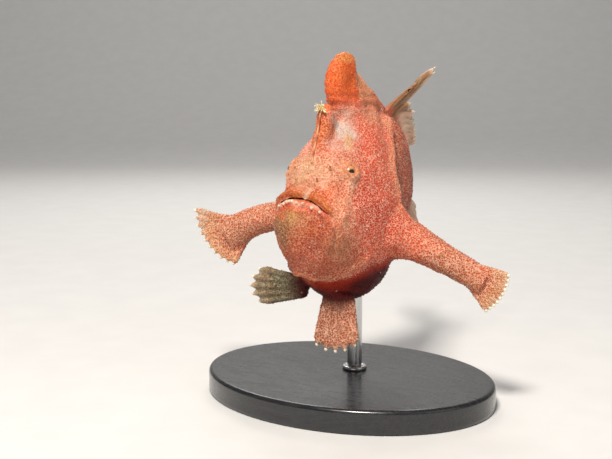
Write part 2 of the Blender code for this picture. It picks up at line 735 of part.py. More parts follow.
def material(name):
    """A plain material with the part's colour, roughness and metallic value."""
    colour, roughness, metallic = MATERIALS[name]
    made = bpy.data.materials.new(name)
    made.use_nodes = True
    shader = made.node_tree.nodes["Principled BSDF"]
    shader.inputs["Base Color"].default_value = (*colour, 1.0)
    shader.inputs["Roughness"].default_value = roughness
    shader.inputs["Metallic"].default_value = metallic
    return made


def dress(nodes):
    """Give each node its material, chosen by its name."""
    finishes = {name: material(name) for name in MATERIALS}
    for node in nodes:
        if "eye" in node.name:
            kind = "eye"
        elif node.name.startswith("stand_"):
            kind = node.name.split("_")[1]
        elif "spine" in node.name or node.name == "illicium":
            kind = "spine"
        elif "fin" in node.name or "hand" in node.name:
            kind = "fin"
        else:
            kind = "skin"
        node.data.materials.clear()
        node.data.materials.append(finishes[kind])


clear_scene()
FISH = new_collection("frogfish")
CUTTERS = new_collection("cutters", hidden=True)

FLESH = fused_flesh(FISH)
ROOM = grown(FLESH)

FINS = [
    midline_fin("soft_dorsal_fin", SOFT_DORSAL, 1.1, 0.8, FISH),
    midline_fin("anal_fin", ANAL, 1.0, 0.4, FISH),
    midline_fin("caudal_fin", CAUDAL, 1.3, 0.6, FISH),
    fan_fin("left_pelvic_fin", LEFT_PELVIC_ROOT, LEFT_PELVIC, FISH),
    fan_fin("right_pelvic_fin", RIGHT_PELVIC_ROOT, RIGHT_PELVIC, FISH),
]
HANDS = []
for side_name, arm_rows, hand_shape in (("left", LEFT_ARM, LEFT_HAND), ("right", RIGHT_ARM, RIGHT_HAND)):
    wrist, onward, rise, widths = end_frame(arm_rows)
    root_frame = (wrist + onward * GAP, onward, rise, widths)
    HANDS.append(fan_fin(side_name + "_hand", root_frame, hand_shape, FISH))

LURE = lure(FISH)
BASE, ROD = stand(FISH)
for piece in (*FINS, LURE, ROD):
    cut_by(piece, ROOM)

EYES = [ball("left_eye", EYE, EYE_RADIUS, FISH), ball("right_eye", (-EYE[0], *EYE[1:]), EYE_RADIUS, FISH)]
FLESHY = part_flesh(FLESH, FISH)
NODES = [*FLESHY, *FINS, *HANDS, LURE, *EYES, BASE, ROD]
dress(NODES)
for node in NODES:
    triangulate(node)
    node.data.shade_smooth()
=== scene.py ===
"""The looks of a frogfish display model: one skin, fins, eyes, lure and stand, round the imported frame.

The shapes repeat the part's own tables and formulas, finer. They are worked out with numpy in the
fish's frame, in millimetres: x to its left, y backwards from the front of the mouth, z up from the
line of the mouth. The finished pieces are in metres, in the frame of the stand.
"""

import json
import logging
import math
from dataclasses import dataclass, field
from enum import Enum

import bpy
import numpy as np
from bpy.types import Material, Mesh, Node, NodeSocket, NodeTree, Object
from mathutils import Matrix, Vector

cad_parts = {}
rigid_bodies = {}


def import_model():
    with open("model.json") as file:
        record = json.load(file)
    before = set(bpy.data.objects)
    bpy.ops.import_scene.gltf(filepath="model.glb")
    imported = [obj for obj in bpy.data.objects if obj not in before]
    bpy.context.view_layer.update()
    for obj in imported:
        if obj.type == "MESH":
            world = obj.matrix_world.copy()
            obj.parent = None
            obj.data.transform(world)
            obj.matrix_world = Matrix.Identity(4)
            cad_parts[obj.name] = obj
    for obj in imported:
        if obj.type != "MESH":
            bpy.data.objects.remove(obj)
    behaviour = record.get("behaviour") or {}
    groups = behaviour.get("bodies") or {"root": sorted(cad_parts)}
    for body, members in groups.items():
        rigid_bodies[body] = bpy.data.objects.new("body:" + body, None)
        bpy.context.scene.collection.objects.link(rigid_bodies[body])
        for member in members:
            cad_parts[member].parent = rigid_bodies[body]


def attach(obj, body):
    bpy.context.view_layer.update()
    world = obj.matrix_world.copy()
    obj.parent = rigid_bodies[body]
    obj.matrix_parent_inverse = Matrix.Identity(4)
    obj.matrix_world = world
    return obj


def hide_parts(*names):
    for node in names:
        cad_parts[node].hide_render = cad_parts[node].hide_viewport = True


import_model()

LOG = logging.getLogger("frogfish")
MM = 0.001
SHIFT = np.array([0.0, -26.0, 63.0])
BODY = "root"
CELL_KEYS = (1, 4099, 16785407)
HASH_KEYS = (73856093, 19349663, 83492791)
HASH_STIR = 1274126177
Array = np.ndarray
Colour = tuple[float, float, float]
Point = tuple[float, float, float]


class Slot(Enum):
    """Material slots of the record, each piece passed one of them."""

    SKIN = "skin"
    SPINE = "spine"
    FIN = "fin"
    EYE = "eye"
    BASE = "base"
    ROD = "rod"


@dataclass(frozen=True)
class Palette:
    """Linear colours of the living animal, some of them also used as painted shade and painted highlight."""

    pink: Colour = (0.77, 0.142, 0.060)
    coral: Colour = (0.77, 0.072, 0.024)
    orange: Colour = (0.84, 0.15, 0.016)
    cream: Colour = (0.84, 0.40, 0.21)
    white: Colour = (0.88, 0.66, 0.50)
    yellow: Colour = (0.80, 0.42, 0.11)
    olive: Colour = (0.34, 0.15, 0.04)
    tan: Colour = (0.48, 0.10, 0.035)
    peach: Colour = (0.62, 0.215, 0.10)
    # painted shade: the dark walls inside the slit of the mouth stand for the shade in the gap between the
    # lips
    lining_painted_shade: Colour = (0.12, 0.018, 0.008)
    snout: Colour = (0.72, 0.44, 0.25)
    muzzle: Colour = (0.76, 0.36, 0.20)
    lip: Colour = (0.68, 0.15, 0.012)
    lip_streak: Colour = (0.84, 0.60, 0.40)
    # painted shade just over the slit of the mouth
    lip_painted_shade: Colour = (0.42, 0.09, 0.014)
    chin: Colour = (0.60, 0.085, 0.010)
    rust: Colour = (0.66, 0.13, 0.008)
    salmon: Colour = (0.62, 0.105, 0.045)
    # partly the chin's own olive, partly painted shade on its right side
    chin_olive_and_painted_shade: Colour = (0.24, 0.12, 0.028)
    chin_pale: Colour = (0.78, 0.30, 0.13)
    throat: Colour = (0.70, 0.20, 0.10)
    # the underside below the edge of the chest: a deep red that is partly its own colour and partly painted
    # shade, then nearly black painted shade further down
    belly_red_and_painted_shade: Colour = (0.42, 0.022, 0.004)
    belly_painted_shade: Colour = (0.07, 0.004, 0.002)
    knob_back: Colour = (0.90, 0.42, 0.23)
    fold: Colour = (0.84, 0.34, 0.185)
    spine: Colour = (0.66, 0.13, 0.012)
    spine_shade: Colour = (0.45, 0.05, 0.008)
    bare: Colour = (0.76, 0.59, 0.52)
    cheek: Colour = (0.86, 0.46, 0.27)
    left_pelvic: Colour = (0.50, 0.17, 0.085)
    # painted shade: the right pelvic fin as dark as it lies in shadow
    right_pelvic_painted_shade: Colour = (0.13, 0.145, 0.08)
    right_pelvic_end: Colour = (0.62, 0.54, 0.38)
    hand: Colour = (0.82, 0.50, 0.24)
    membrane: Colour = (0.86, 0.72, 0.56)
    spike: Colour = (0.30, 0.15, 0.055)
    iris: Colour = (0.42, 0.22, 0.03)
    pupil: Colour = (0.012, 0.008, 0.006)
    eye_back: Colour = (0.10, 0.03, 0.015)
    nostril: Colour = (0.60, 0.20, 0.10)
    # painted shade at the bottom of each nostril's hole
    nostril_painted_shade: Colour = (0.30, 0.07, 0.03)
    tuft: Colour = (0.80, 0.60, 0.22)
    thread: Colour = (0.78, 0.52, 0.16)
    thread_tip: Colour = (0.92, 0.86, 0.58)


PALETTE = Palette()


@dataclass
class Surface:
    """Points in millimetres of the fish's frame, and faces as blocks of rows of point numbers."""

    points: Array
    faces: list[Array]

    def outward(self) -> "Surface":
        """The same closed surface with its faces turned outwards.

        Returns:
            Surface: turned round where the signed volume of its faces was negative.
        """
        volume = 0.0
        for block in self.faces:
            first = self.points[block[:, 0]]
            for turn in range(1, block.shape[1] - 1):
                second, third = self.points[block[:, turn]], self.points[block[:, turn + 1]]
                volume += float(np.einsum("ij,ij->i", first, np.cross(second, third)).sum())
        if volume < 0:
            return Surface(self.points, [block[:, ::-1] for block in self.faces])
        return self


def joined(surfaces: list[Surface]) -> Surface:
    """Several surfaces as one, their points one block after another.

    Args:
        surfaces: the surfaces, left as they are.

    Returns:
        Surface: all their points and faces.
    """
    starts = np.cumsum([0] + [len(surface.points) for surface in surfaces])
    faces = [block + start for surface, start in zip(surfaces, starts) for block in surface.faces]
    return Surface(np.vstack([surface.points for surface in surfaces]), faces)


def to_world(points: Array) -> Array:
    """Points of the fish's frame, in millimetres, as metres in the frame of the stand."""
    return (points + SHIFT) * MM


def to_mesh(name: str, surface: Surface) -> Mesh:
    """A mesh from a surface.

    Args:
        name: name of the mesh.
        surface: points in millimetres of the fish's frame.

    Returns:
        Mesh: in metres, smooth shaded.
    """
    mesh = bpy.data.meshes.new(name)
    loops = np.concatenate([block.ravel() for block in surface.faces])
    sizes = np.concatenate([np.full(len(block), block.shape[1]) for block in surface.faces])
    starts = np.concatenate([[0], np.cumsum(sizes)[:-1]])
    mesh.vertices.add(len(surface.points))
    mesh.vertices.foreach_set("co", to_world(surface.points).ravel())
    mesh.loops.add(len(loops))
    mesh.loops.foreach_set("vertex_index", loops)
    mesh.polygons.add(len(sizes))
    mesh.polygons.foreach_set("loop_start", starts)
    mesh.update(calc_edges=True)
    mesh.validate()
    mesh.shade_smooth()
    return mesh


def set_tint(mesh: Mesh, tint: Array, marks: Array | None = None) -> None:
    """Give a mesh its colour, and how strong its dots are, as attributes of its points.

    Args:
        mesh: the mesh.
        tint: a linear colour for each point.
        marks: strength of the dots at each point, from 0 to 1.
    """
    layer = mesh.color_attributes.new("tint", "FLOAT_COLOR", "POINT")
    layer.data.foreach_set("color", np.hstack([tint, np.ones((len(tint), 1))]).astype(np.float32).ravel())
    if marks is not None:
        strength = mesh.attributes.new("marks", "FLOAT", "POINT")
        strength.data.foreach_set("value", marks.astype(np.float32))


def add_piece(name: str, mesh: Mesh, finishes: list[Material], slot: Slot, *stands_for: str) -> Object:
    """A finished piece that rides with the model.

    Args:
        name: name of the piece.
        mesh: its mesh, in place.
        finishes: its materials.
        slot: the record's material slot; not used.
        stands_for: the frame's nodes that it replaces.

    Returns:
        Object: at the origin, unturned and unscaled.
    """
    for finish in finishes:
        mesh.materials.append(finish)
    piece = bpy.data.objects.new(name, mesh)
    bpy.context.scene.collection.objects.link(piece)
    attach(piece, BODY)
    if stands_for:
        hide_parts(*stands_for)
    LOG.info("%s: %d points, %d faces", name, len(mesh.vertices), len(mesh.polygons))
    return piece


def smooth_rows(rows: Array, steps: int) -> Array:
    """Rows of a table with smooth in-between rows, a cubic through each neighbouring four.

    Args:
        rows: the table.
        steps: how many rows come from each.

    Returns:
        ndarray: the longer table, which ends on the last row.
    """
    rows = np.asarray(rows, float)
    padded = np.vstack([2 * rows[0] - rows[1], rows, 2 * rows[-1] - rows[-2]])
    parts = (padded[:-3], padded[1:-2], padded[2:-1], padded[3:])
    before, start, end, after = (part[:, None] for part in parts)
    t = (np.arange(steps) / steps)[None, :, None]
    between = 0.5 * (
        2 * start
        + (end - before) * t
        + (2 * before - 5 * start + 4 * end - after) * t**2
        + (3 * start - before - 3 * end + after) * t**3
    )
    return np.vstack([between.reshape(-1, rows.shape[1]), rows[-1:]])


def line_at(rows: Array, along: Array) -> Array:
    """Points at places from 0 to 1 along a smooth line through a table's rows.

    Args:
        rows: the table.
        along: places, 0 at its first row and 1 at its last.

    Returns:
        ndarray: a row for each place.
    """
    line = smooth_rows(rows, 12)
    spots = np.linspace(0, 1, len(line))
    return np.stack([np.interp(along, spots, line[:, i]) for i in range(line.shape[1])], axis=-1)


def unit(vectors: Array) -> Array:
    """Vectors along the last axis, made one long."""
    return vectors / np.maximum(np.linalg.norm(vectors, axis=-1, keepdims=True), 1e-9)


def clamp(value: Array) -> Array:
    """Values held between 0 and 1."""
    return np.clip(value, 0, 1)


def step(value: Array, low: float, high: float) -> Array:
    """A smooth step: 0 at low, 1 at high, level at both ends, and the other way round if high is lower."""
    t = clamp((value - low) / (high - low))
    return t * t * (3 - 2 * t)


def bell(value: Array, reach: float, place: float = 0.0, power: int = 2) -> Array:
    """A bell over one value: 1 at its place, falling off over its reach, and flatter for a higher power."""
    return np.exp(-(((value - place) / reach) ** power))


def once_round(around: int) -> Array:
    """Angles once round, evenly spaced from 0, in radians."""
    return np.linspace(0, 2 * math.pi, around, endpoint=False)


def grid_faces(grid: Array) -> Array:
    """Quads between the neighbouring point numbers of a grid, all turned the same way."""
    quads = np.stack([grid[:-1, :-1], grid[1:, :-1], grid[1:, 1:], grid[:-1, 1:]], axis=-1)
    return quads.reshape(-1, 4)


def blend(tint: Array, colour: Colour, amount: Array) -> None:
    """Move a tint, where it is, towards a colour by an amount from 0 to 1 at each point."""
    tint += (np.array(colour) - tint) * clamp(amount)[:, None]


def mixed(start: Array | Colour, end: Array | Colour, amount: Array) -> Array:
    """Colours between two others: an amount of 0 gives the first and 1 the second."""
    first = np.array(start)
    return first + (np.array(end) - first) * amount


def thinned(points: Array, spacing: float, random: np.random.Generator) -> Array:
    """Numbers of the points that are left when each cell of a lattice keeps one, taken at random.

    Args:
        points: the points.
        spacing: side of a lattice cell, in millimetres.
        random: where the order is drawn from.

    Returns:
        ndarray: numbers of the points that are kept.
    """
    order = random.permutation(len(points))
    cell = np.floor(points[order] / spacing).astype(np.int64)
    return order[np.unique(cell @ np.array(CELL_KEYS), return_index=True)[1]]


def near(points: Array, middle: Point, reach: Point | float) -> Array:
    """A bell over the points: 1 at the middle, falling off over its reach along each axis."""
    return np.exp(-(((points - np.array(middle)) / np.asarray(reach)) ** 2).sum(axis=1))


def lattice_noise(points: Array, size: float, seed: int) -> Array:
    """Smooth noise from -1 to 1: fixed random values on a cubic lattice, blended by a smooth step.

    Args:
        points: where it is wanted.
        size: side of a lattice cell, in millimetres.
        seed: which of the noises.

    Returns:
        ndarray: a value for each point.
    """
    cell = points / size + seed * 17.31
    base = np.floor(cell).astype(np.int64)
    part = cell - base
    part = part * part * (3 - 2 * part)
    total = np.zeros(len(points))
    for corner in np.ndindex(2, 2, 2):
        spot = base + np.array(corner)
        key = (spot[:, 0] * HASH_KEYS[0]) ^ (spot[:, 1] * HASH_KEYS[1]) ^ (spot[:, 2] * HASH_KEYS[2])
        key = ((key ^ (key >> 13)) * HASH_STIR) & 0x7FFFFFFF
        value = ((key ^ (key >> 15)) & 0xFFFF) / 32767.5 - 1
        total += value * np.prod(np.where(corner, part, 1 - part), axis=1)
    return total


def loft(sections: Array) -> Surface:
    """A closed skin over rings of points, with a point in the middle of each end.

    Args:
        sections: rings, points round each, x y z.

    Returns:
        Surface: turned outwards.
    """
    count, around = sections.shape[:2]
    here = np.arange(count * around).reshape(count, around)
    beside = np.roll(here, -1, axis=1)
    sides = np.stack([here[:-1], beside[:-1], beside[1:], here[1:]], axis=-1).reshape(-1, 4)
    first, last = count * around, count * around + 1
    caps = [
        np.stack([beside[0], here[0], np.full(around, first)], axis=-1),
        np.stack([here[-1], beside[-1], np.full(around, last)], axis=-1),
    ]
    ends = [sections[0].mean(axis=0), sections[-1].mean(axis=0)]
    return Surface(np.vstack([sections.reshape(-1, 3), ends]), [sides, *caps]).outward()


def sheet(middle: Array, normal: Array, half: Array) -> Surface:
    """A closed sheet over a grid: the grid moved out by its half thickness on both faces.

    Args:
        middle: the grid of points.
        normal: the way that the sheet faces at each.
        half: half of its thickness at each.

    Returns:
        Surface: with the same split on both faces and a rim between them.
    """
    wide, deep = half.shape
    points = np.vstack([(middle + side * normal * half[..., None]).reshape(-1, 3) for side in (1, -1)])
    grid = np.arange(wide * deep).reshape(wide, deep)
    quads = grid_faces(grid)
    rim = np.concatenate([grid[:-1, 0], grid[-1, :-1], grid[:0:-1, -1], grid[0, :0:-1]])
    after, under = np.roll(rim, -1), wide * deep
    edge = np.stack([rim, rim + under, after + under, after], axis=-1)
    return Surface(points, [quads, quads[:, ::-1] + under, edge]).outward()


def tube(path: Array, radius: Array, around: int = 8) -> Surface:
    """A round tube along a path: rings square to it, closed by a point at each end.

    Args:
        path: points of the middle line.
        radius: its radius at each.
        around: sides of the ring.

    Returns:
        Surface: turned outwards.
    """
    along = unit(np.gradient(path, axis=0))
    spare = np.array((0.31, 0.17, 0.93)) if abs(along[0, 0]) < 0.8 else np.array((0.1, 0.9, 0.3))
    side = unit(np.cross(along, spare))
    rise = np.cross(side, along)
    angle = once_round(around)[None, :, None]
    ring = side[:, None] * np.cos(angle) + rise[:, None] * np.sin(angle)
    return loft(path[:, None] + ring * radius[:, None, None])


def capsules(feet: Array, ways: Array, sizes: Array, around: int = 6, rings: int = 4) -> Surface:
    """Many small rounded pegs at once: a ring profile that narrows as the root of what is left.

    Args:
        feet: where each starts.
        ways: the way that each points, one long.
        sizes: for each, its radius at the foot, its length, and how pointed it is, from 0 to 1.
        around: sides of each ring.
        rings: rings of each.

    Returns:
        Surface: all of them, closed by a flat foot that is sunk in what carries it.
    """
    spare = np.where(np.abs(ways[:, :1]) < 0.8, np.array([[1.0, 0, 0]]), np.array([[0, 1.0, 0]]))
    side = unit(np.cross(ways, spare))
    rise = np.cross(side, ways)
    angle = once_round(around)
    level = np.linspace(0, 1, rings, endpoint=False)
    round_end = np.sqrt(1 - level**2)
    pointed = 1 - level
    width = sizes[:, :1] * (round_end * (1 - sizes[:, 2:]) + pointed * sizes[:, 2:])
    ring = side[:, None] * np.cos(angle)[:, None] + rise[:, None] * np.sin(angle)[:, None]
    lift = (level * sizes[:, 1:2])[:, :, None, None] * ways[:, None, None]
    body = feet[:, None, None] + lift + ring[:, None] * width[:, :, None, None]
    tips = feet + ways * sizes[:, 1:2]
    count, each = len(feet), rings * around
    points = np.concatenate([body.reshape(count, each, 3), tips[:, None]], axis=1).reshape(-1, 3)
    grid = np.arange(each).reshape(rings, around)
    beside = np.roll(grid, -1, axis=1)
    quads = np.stack([grid[:-1], beside[:-1], beside[1:], grid[1:]], axis=-1).reshape(-1, 4)
    cap = np.stack([grid[-1], beside[-1], np.full(around, each)], axis=-1)
    starts = (np.arange(count) * (each + 1))[:, None, None]
    foot = grid[:1, ::-1]
    return Surface(points, [(block + starts).reshape(-1, block.shape[1]) for block in (quads, cap, foot)])


class Shader:
    """A short way to build a tree of shader nodes."""

    def __init__(self, tree: NodeTree) -> None:
        """Keep the tree that the nodes go into."""
        self.tree = tree

    def add(self, kind: str, inputs: dict[str | int, object] | None = None, **settings: object) -> Node:
        """A node with its settings, its inputs set to values or joined to sockets.

        Args:
            kind: type of the node.
            inputs: a value or an output socket for each named or numbered input.
            settings: properties of the node.

        Returns:
            Node: the new node.
        """
        node = self.tree.nodes.new(kind)
        for key, value in settings.items():
            setattr(node, key, value)
        for key, value in (inputs or {}).items():
            if isinstance(value, NodeSocket):
                self.tree.links.new(value, node.inputs[key])
            else:
                node.inputs[key].default_value = value
        return node

    def spread(
        self, value: NodeSocket, low: float, high: float, to: tuple[float, float] = (0, 1)
    ) -> NodeSocket:
        """The value mapped from low and high to two others, smoothly and clamped."""
        inputs = {"Value": value, "From Min": low, "From Max": high, "To Min": to[0], "To Max": to[1]}
        return self.add("ShaderNodeMapRange", inputs, interpolation_type="SMOOTHSTEP").outputs[0]

    def times(self, first: object, second: object, kind: str = "MULTIPLY") -> NodeSocket:
        """The product of two values, or what another kind of sum makes of them."""
        return self.add("ShaderNodeMath", {0: first, 1: second}, operation=kind).outputs[0]

    def plus(self, first: object, second: object) -> NodeSocket:
        """The sum of two values."""
        return self.times(first, second, "ADD")

    def mix(self, factor: object, first: object, second: object, blend: str = "MIX") -> NodeSocket:
        """Two colours mixed by a factor.

        Args:
            factor: 0 for the first, 1 for the second.
            first: a colour or a socket.
            second: a colour or a socket.
            blend: how they are mixed.

        Returns:
            NodeSocket: the result.
        """
        node = self.add("ShaderNodeMix", data_type="RGBA", blend_type=blend, clamp_factor=True)
        for socket, value in ((node.inputs[0], factor), (node.inputs[6], first), (node.inputs[7], second)):
            if isinstance(value, NodeSocket):
                self.tree.links.new(value, socket)
            else:
                socket.default_value = value
        return node.outputs[2]


def grain_group() -> NodeTree:
    """The shared grain of the skin: dark dots in a pale net, with blotches, as masks and a height.

    Returns:
        NodeTree: inputs Vector and Scale; outputs Dark, Pale, Blotch and Height.
    """
    group = bpy.data.node_groups.new("skin grain", "ShaderNodeTree")
    group.interface.new_socket("Vector", in_out="INPUT", socket_type="NodeSocketVector")
    scale = group.interface.new_socket("Scale", in_out="INPUT", socket_type="NodeSocketFloat")
    scale.default_value = 1500.0
    for name in ("Dark", "Pale", "Blotch", "Height"):
        group.interface.new_socket(name, in_out="OUTPUT", socket_type="NodeSocketFloat")
    build = Shader(group)
    source = build.add("NodeGroupInput")
    place, size = source.outputs["Vector"], source.outputs["Scale"]
    warp = build.add("ShaderNodeTexNoise", {"Vector": place, "Scale": 900.0, "Detail": 1.0})
    sway = {0: warp.outputs["Color"], 1: (0.0004, 0.0004, 0.0004)}
    shift = build.add("ShaderNodeVectorMath", sway, operation="MULTIPLY")
    moved = build.add("ShaderNodeVectorMath", {0: place, 1: shift.outputs[0]}, operation="ADD").outputs[0]
    inputs = {"Vector": moved, "Scale": size, "Randomness": 0.85}
    cells = build.add("ShaderNodeTexVoronoi", inputs)
    net = build.add("ShaderNodeTexVoronoi", inputs, feature="DISTANCE_TO_EDGE")
    wide = {"Vector": place, "Scale": 230.0, "Detail": 3.0, "Roughness": 0.6}
    blotch = build.add("ShaderNodeTexNoise", wide)
    fine = build.add("ShaderNodeTexNoise", {"Vector": place, "Scale": 5200.0, "Detail": 2.0})
    spots = build.spread(cells.outputs["Distance"], 0.60, 0.26)
    uneven = build.spread(blotch.outputs[0], 0.34, 0.60, (0.45, 1.0))
    lines = build.spread(net.outputs["Distance"], 0.17, 0.03)
    height = build.plus(build.times(lines, 0.45), build.times(fine.outputs[0], 0.5))
    height = build.plus(height, build.times(spots, -0.5))
    sink = build.add("NodeGroupOutput")
    made = {"Dark": build.times(spots, uneven), "Pale": lines, "Blotch": blotch.outputs[0], "Height": height}
    for name, value in made.items():
        group.links.new(value, sink.inputs[name])
    return group


@dataclass(frozen=True)
class SkinFinish:
    """Skin that takes its colour from the tint of the points, under dots, a pale net and blotches."""

    name: str
    scale: float = 1420.0
    dark: float = 1.0
    pale: float = 0.95
    roughness: float = 0.55
    coat: float = 0.05
    bump: float = 0.9
    depth: float = 0.0012
    weight: float = 0.08
    alpha: bool = False

    def make(self, grain: NodeTree) -> Material:
        """Build the material.

        Args:
            grain: the shared group of the skin's grain.

        Returns:
            Material: reads the attributes tint and marks, and Object coordinates.
        """
        made = bpy.data.materials.new(self.name)
        made.use_nodes = True
        build = Shader(made.node_tree)
        shader = made.node_tree.nodes["Principled BSDF"]
        tint = build.add("ShaderNodeAttribute", attribute_name="tint").outputs["Color"]
        marks = build.add("ShaderNodeAttribute", attribute_name="marks").outputs["Fac"]
        place = build.add("ShaderNodeTexCoord").outputs["Object"]
        skin = build.add("ShaderNodeGroup", {}, node_tree=grain)
        made.node_tree.links.new(place, skin.inputs["Vector"])
        skin.inputs["Scale"].default_value = self.scale
        dotted = build.times(build.times(skin.outputs["Dark"], marks), self.dark)
        blotch = build.spread(skin.outputs["Blotch"], 0.3, 0.7, (0.0, 0.4))
        colour = build.mix(blotch, tint, (0.92, 0.58, 0.42, 1), "MULTIPLY")
        colour = build.mix(dotted, colour, (0.82, 0.30, 0.18, 1), "MULTIPLY")
        netted = build.times(build.times(skin.outputs["Pale"], marks), self.pale)
        net = build.mix(0.68, tint, (1.0, 0.66, 0.47, 1))
        colour = build.mix(netted, colour, net)
        rough = build.plus(build.times(skin.outputs["Blotch"], 0.2), self.roughness - 0.1)
        relief = {"Height": skin.outputs["Height"], "Strength": self.bump, "Distance": 0.0002}
        bump = build.add("ShaderNodeBump", relief)
        links = made.node_tree.links
        links.new(colour, shader.inputs["Base Color"])
        links.new(rough, shader.inputs["Roughness"])
        links.new(bump.outputs[0], shader.inputs["Normal"])
        values = {"Specular IOR Level": 0.22, "Coat Weight": self.coat, "Coat Roughness": 0.3}
        values |= {"Subsurface Weight": self.weight, "Subsurface Radius": (1.0, 0.35, 0.22)}
        values |= {"Subsurface Scale": self.depth}
        for name, value in values.items():
            shader.inputs[name].default_value = value
        if self.alpha:
            clear = build.add("ShaderNodeAttribute", attribute_name="solid").outputs["Fac"]
            links.new(clear, shader.inputs["Alpha"])
        return made


@dataclass(frozen=True)
class PlainFinish:
    """A finish of one colour with a fine noise in its colour, roughness and height."""

    name: str
    colour: Colour
    roughness: float
    metallic: float = 0.0
    coat: float = 0.0
    grain: Point = (900.0, 900.0, 900.0)
    contrast: float = 0.2
    bump: float = 0.1
    tinted: bool = False

    def make(self) -> Material:
        """Build the material.

        Returns:
            Material: a noise stretched by the grain runs through its colour, roughness and height.
        """
        made = bpy.data.materials.new(self.name)
        made.use_nodes = True
        build = Shader(made.node_tree)
        shader = made.node_tree.nodes["Principled BSDF"]
        place = build.add("ShaderNodeTexCoord").outputs["Object"]
        turned = build.add("ShaderNodeMapping", {"Vector": place, "Scale": self.grain}).outputs[0]
        noise = build.add("ShaderNodeTexNoise", {"Vector": turned, "Scale": 1.0, "Detail": 4.0}).outputs[0]
        start = (*self.colour, 1)
        if self.tinted:
            start = build.add("ShaderNodeAttribute", attribute_name="tint").outputs["Color"]
        shade = build.spread(noise, 0.25, 0.75, (1 - self.contrast, 1 + self.contrast))
        grey = build.add("ShaderNodeCombineColor", {0: shade, 1: shade, 2: shade}).outputs[0]
        colour = build.mix(1.0, start, grey, "MULTIPLY")
        bump = build.add("ShaderNodeBump", {"Height": noise, "Strength": self.bump, "Distance": 0.0002})
        links = made.node_tree.links
        links.new(colour, shader.inputs["Base Color"])
        rough = build.spread(noise, 0.2, 0.8, (self.roughness * 0.8, self.roughness * 1.2))
        links.new(rough, shader.inputs["Roughness"])
        links.new(bump.outputs[0], shader.inputs["Normal"])
        values = {"Metallic": self.metallic, "Coat Weight": self.coat, "Coat Roughness": 0.12}
        for name, value in values.items():
            shader.inputs[name].default_value = value
        return made


@dataclass
class FinForm:
    """A fin as a surface of two parameters: across the rays, and out along them from root to tip."""

    roots: Array
    tips: Array
    on_ray: Array
    curl: float
    bow: Array
    ripple: float = 0.0
    waves: float = 3.0

    def middle(self, out: Array) -> Array:
        """Points of the middle surface: straight from root to tip, bowed by a parabola, then curled.

        Args:
            out: places along the rays, 0 at the root and 1 at the tip.

        Returns:
            ndarray: columns, rows, x y z.
        """
        along = out[None, :, None]
        straight = self.roots[:, None] + (self.tips - self.roots)[:, None] * along
        bent = straight + self.bow[:, None] * 4 * along * (1 - along)
        across = np.linspace(0, 1, len(self.roots))[:, None, None]
        wave = self.ripple * np.sin(2 * math.pi * self.waves * across + 2.0 * along)
        return bent + self.facing(bent) * (self.curl * along**2 + wave * along**1.5)

    def facing(self, points: Array) -> Array:
        """The way that the surface faces: square to its two directions, evened out along the rows.

        Args:
            points: columns, rows, x y z.

        Returns:
            ndarray: a direction for each point.
        """
        normal = unit(np.cross(np.gradient(points, axis=0), np.gradient(points, axis=1)))
        for _ in range(6):
            padded = np.concatenate([normal[:1], normal, normal[-1:]])
            normal = unit(padded[:-2] + 2 * padded[1:-1] + padded[2:])
        return normal

    def solid(
        self, rows: int, membrane: tuple[float, float], ridge: tuple[float, float], root: Array
    ) -> Surface:
        """The closed fin, thick at its root and on its rays, thin between them.

        Args:
            rows: rows from root to tip.
            membrane: half thickness between the rays at root and tip.
            ridge: what a ray adds to it at root and tip.
            root: half thickness of each column at the root.

        Returns:
            Surface: turned outwards.
        """
        out = np.linspace(0, 1, rows)
        points = self.middle(out)
        row = out[None]
        half = membrane[0] + (membrane[1] - membrane[0]) * row
        half = half + (ridge[0] + (ridge[1] - ridge[0]) * row) * self.on_ray[:, None] * clamp(row * 4)
        half = np.maximum(half, root[:, None] * (1 - clamp(row / 0.7)) ** 1.5)
        half = half * (1 - 0.35 * clamp((row - 0.92) / 0.08))
        return sheet(points, self.facing(points), half)

    def ray_ends(self, start: float, reach: float, around: int, radius: float) -> list[Surface]:
        """The bare end of each ray, as a tube that narrows to a rounded tip past the membrane.

        Args:
            start: where it begins along the ray.
            reach: where it ends, 1 being the edge of the fin.
            around: sides of the tube.
            radius: its radius at the start.

        Returns:
            list: one surface for each ray.
        """
        out = np.linspace(start, reach, 7)
        points = self.middle(out)
        taper = radius * np.array((0.85, 0.8, 0.8, 0.85, 1.05, 1.1, 0.5))
        peaks = np.flatnonzero(self.on_ray > 0.999)
        return [tube(points[peak], taper, around) for peak in peaks]


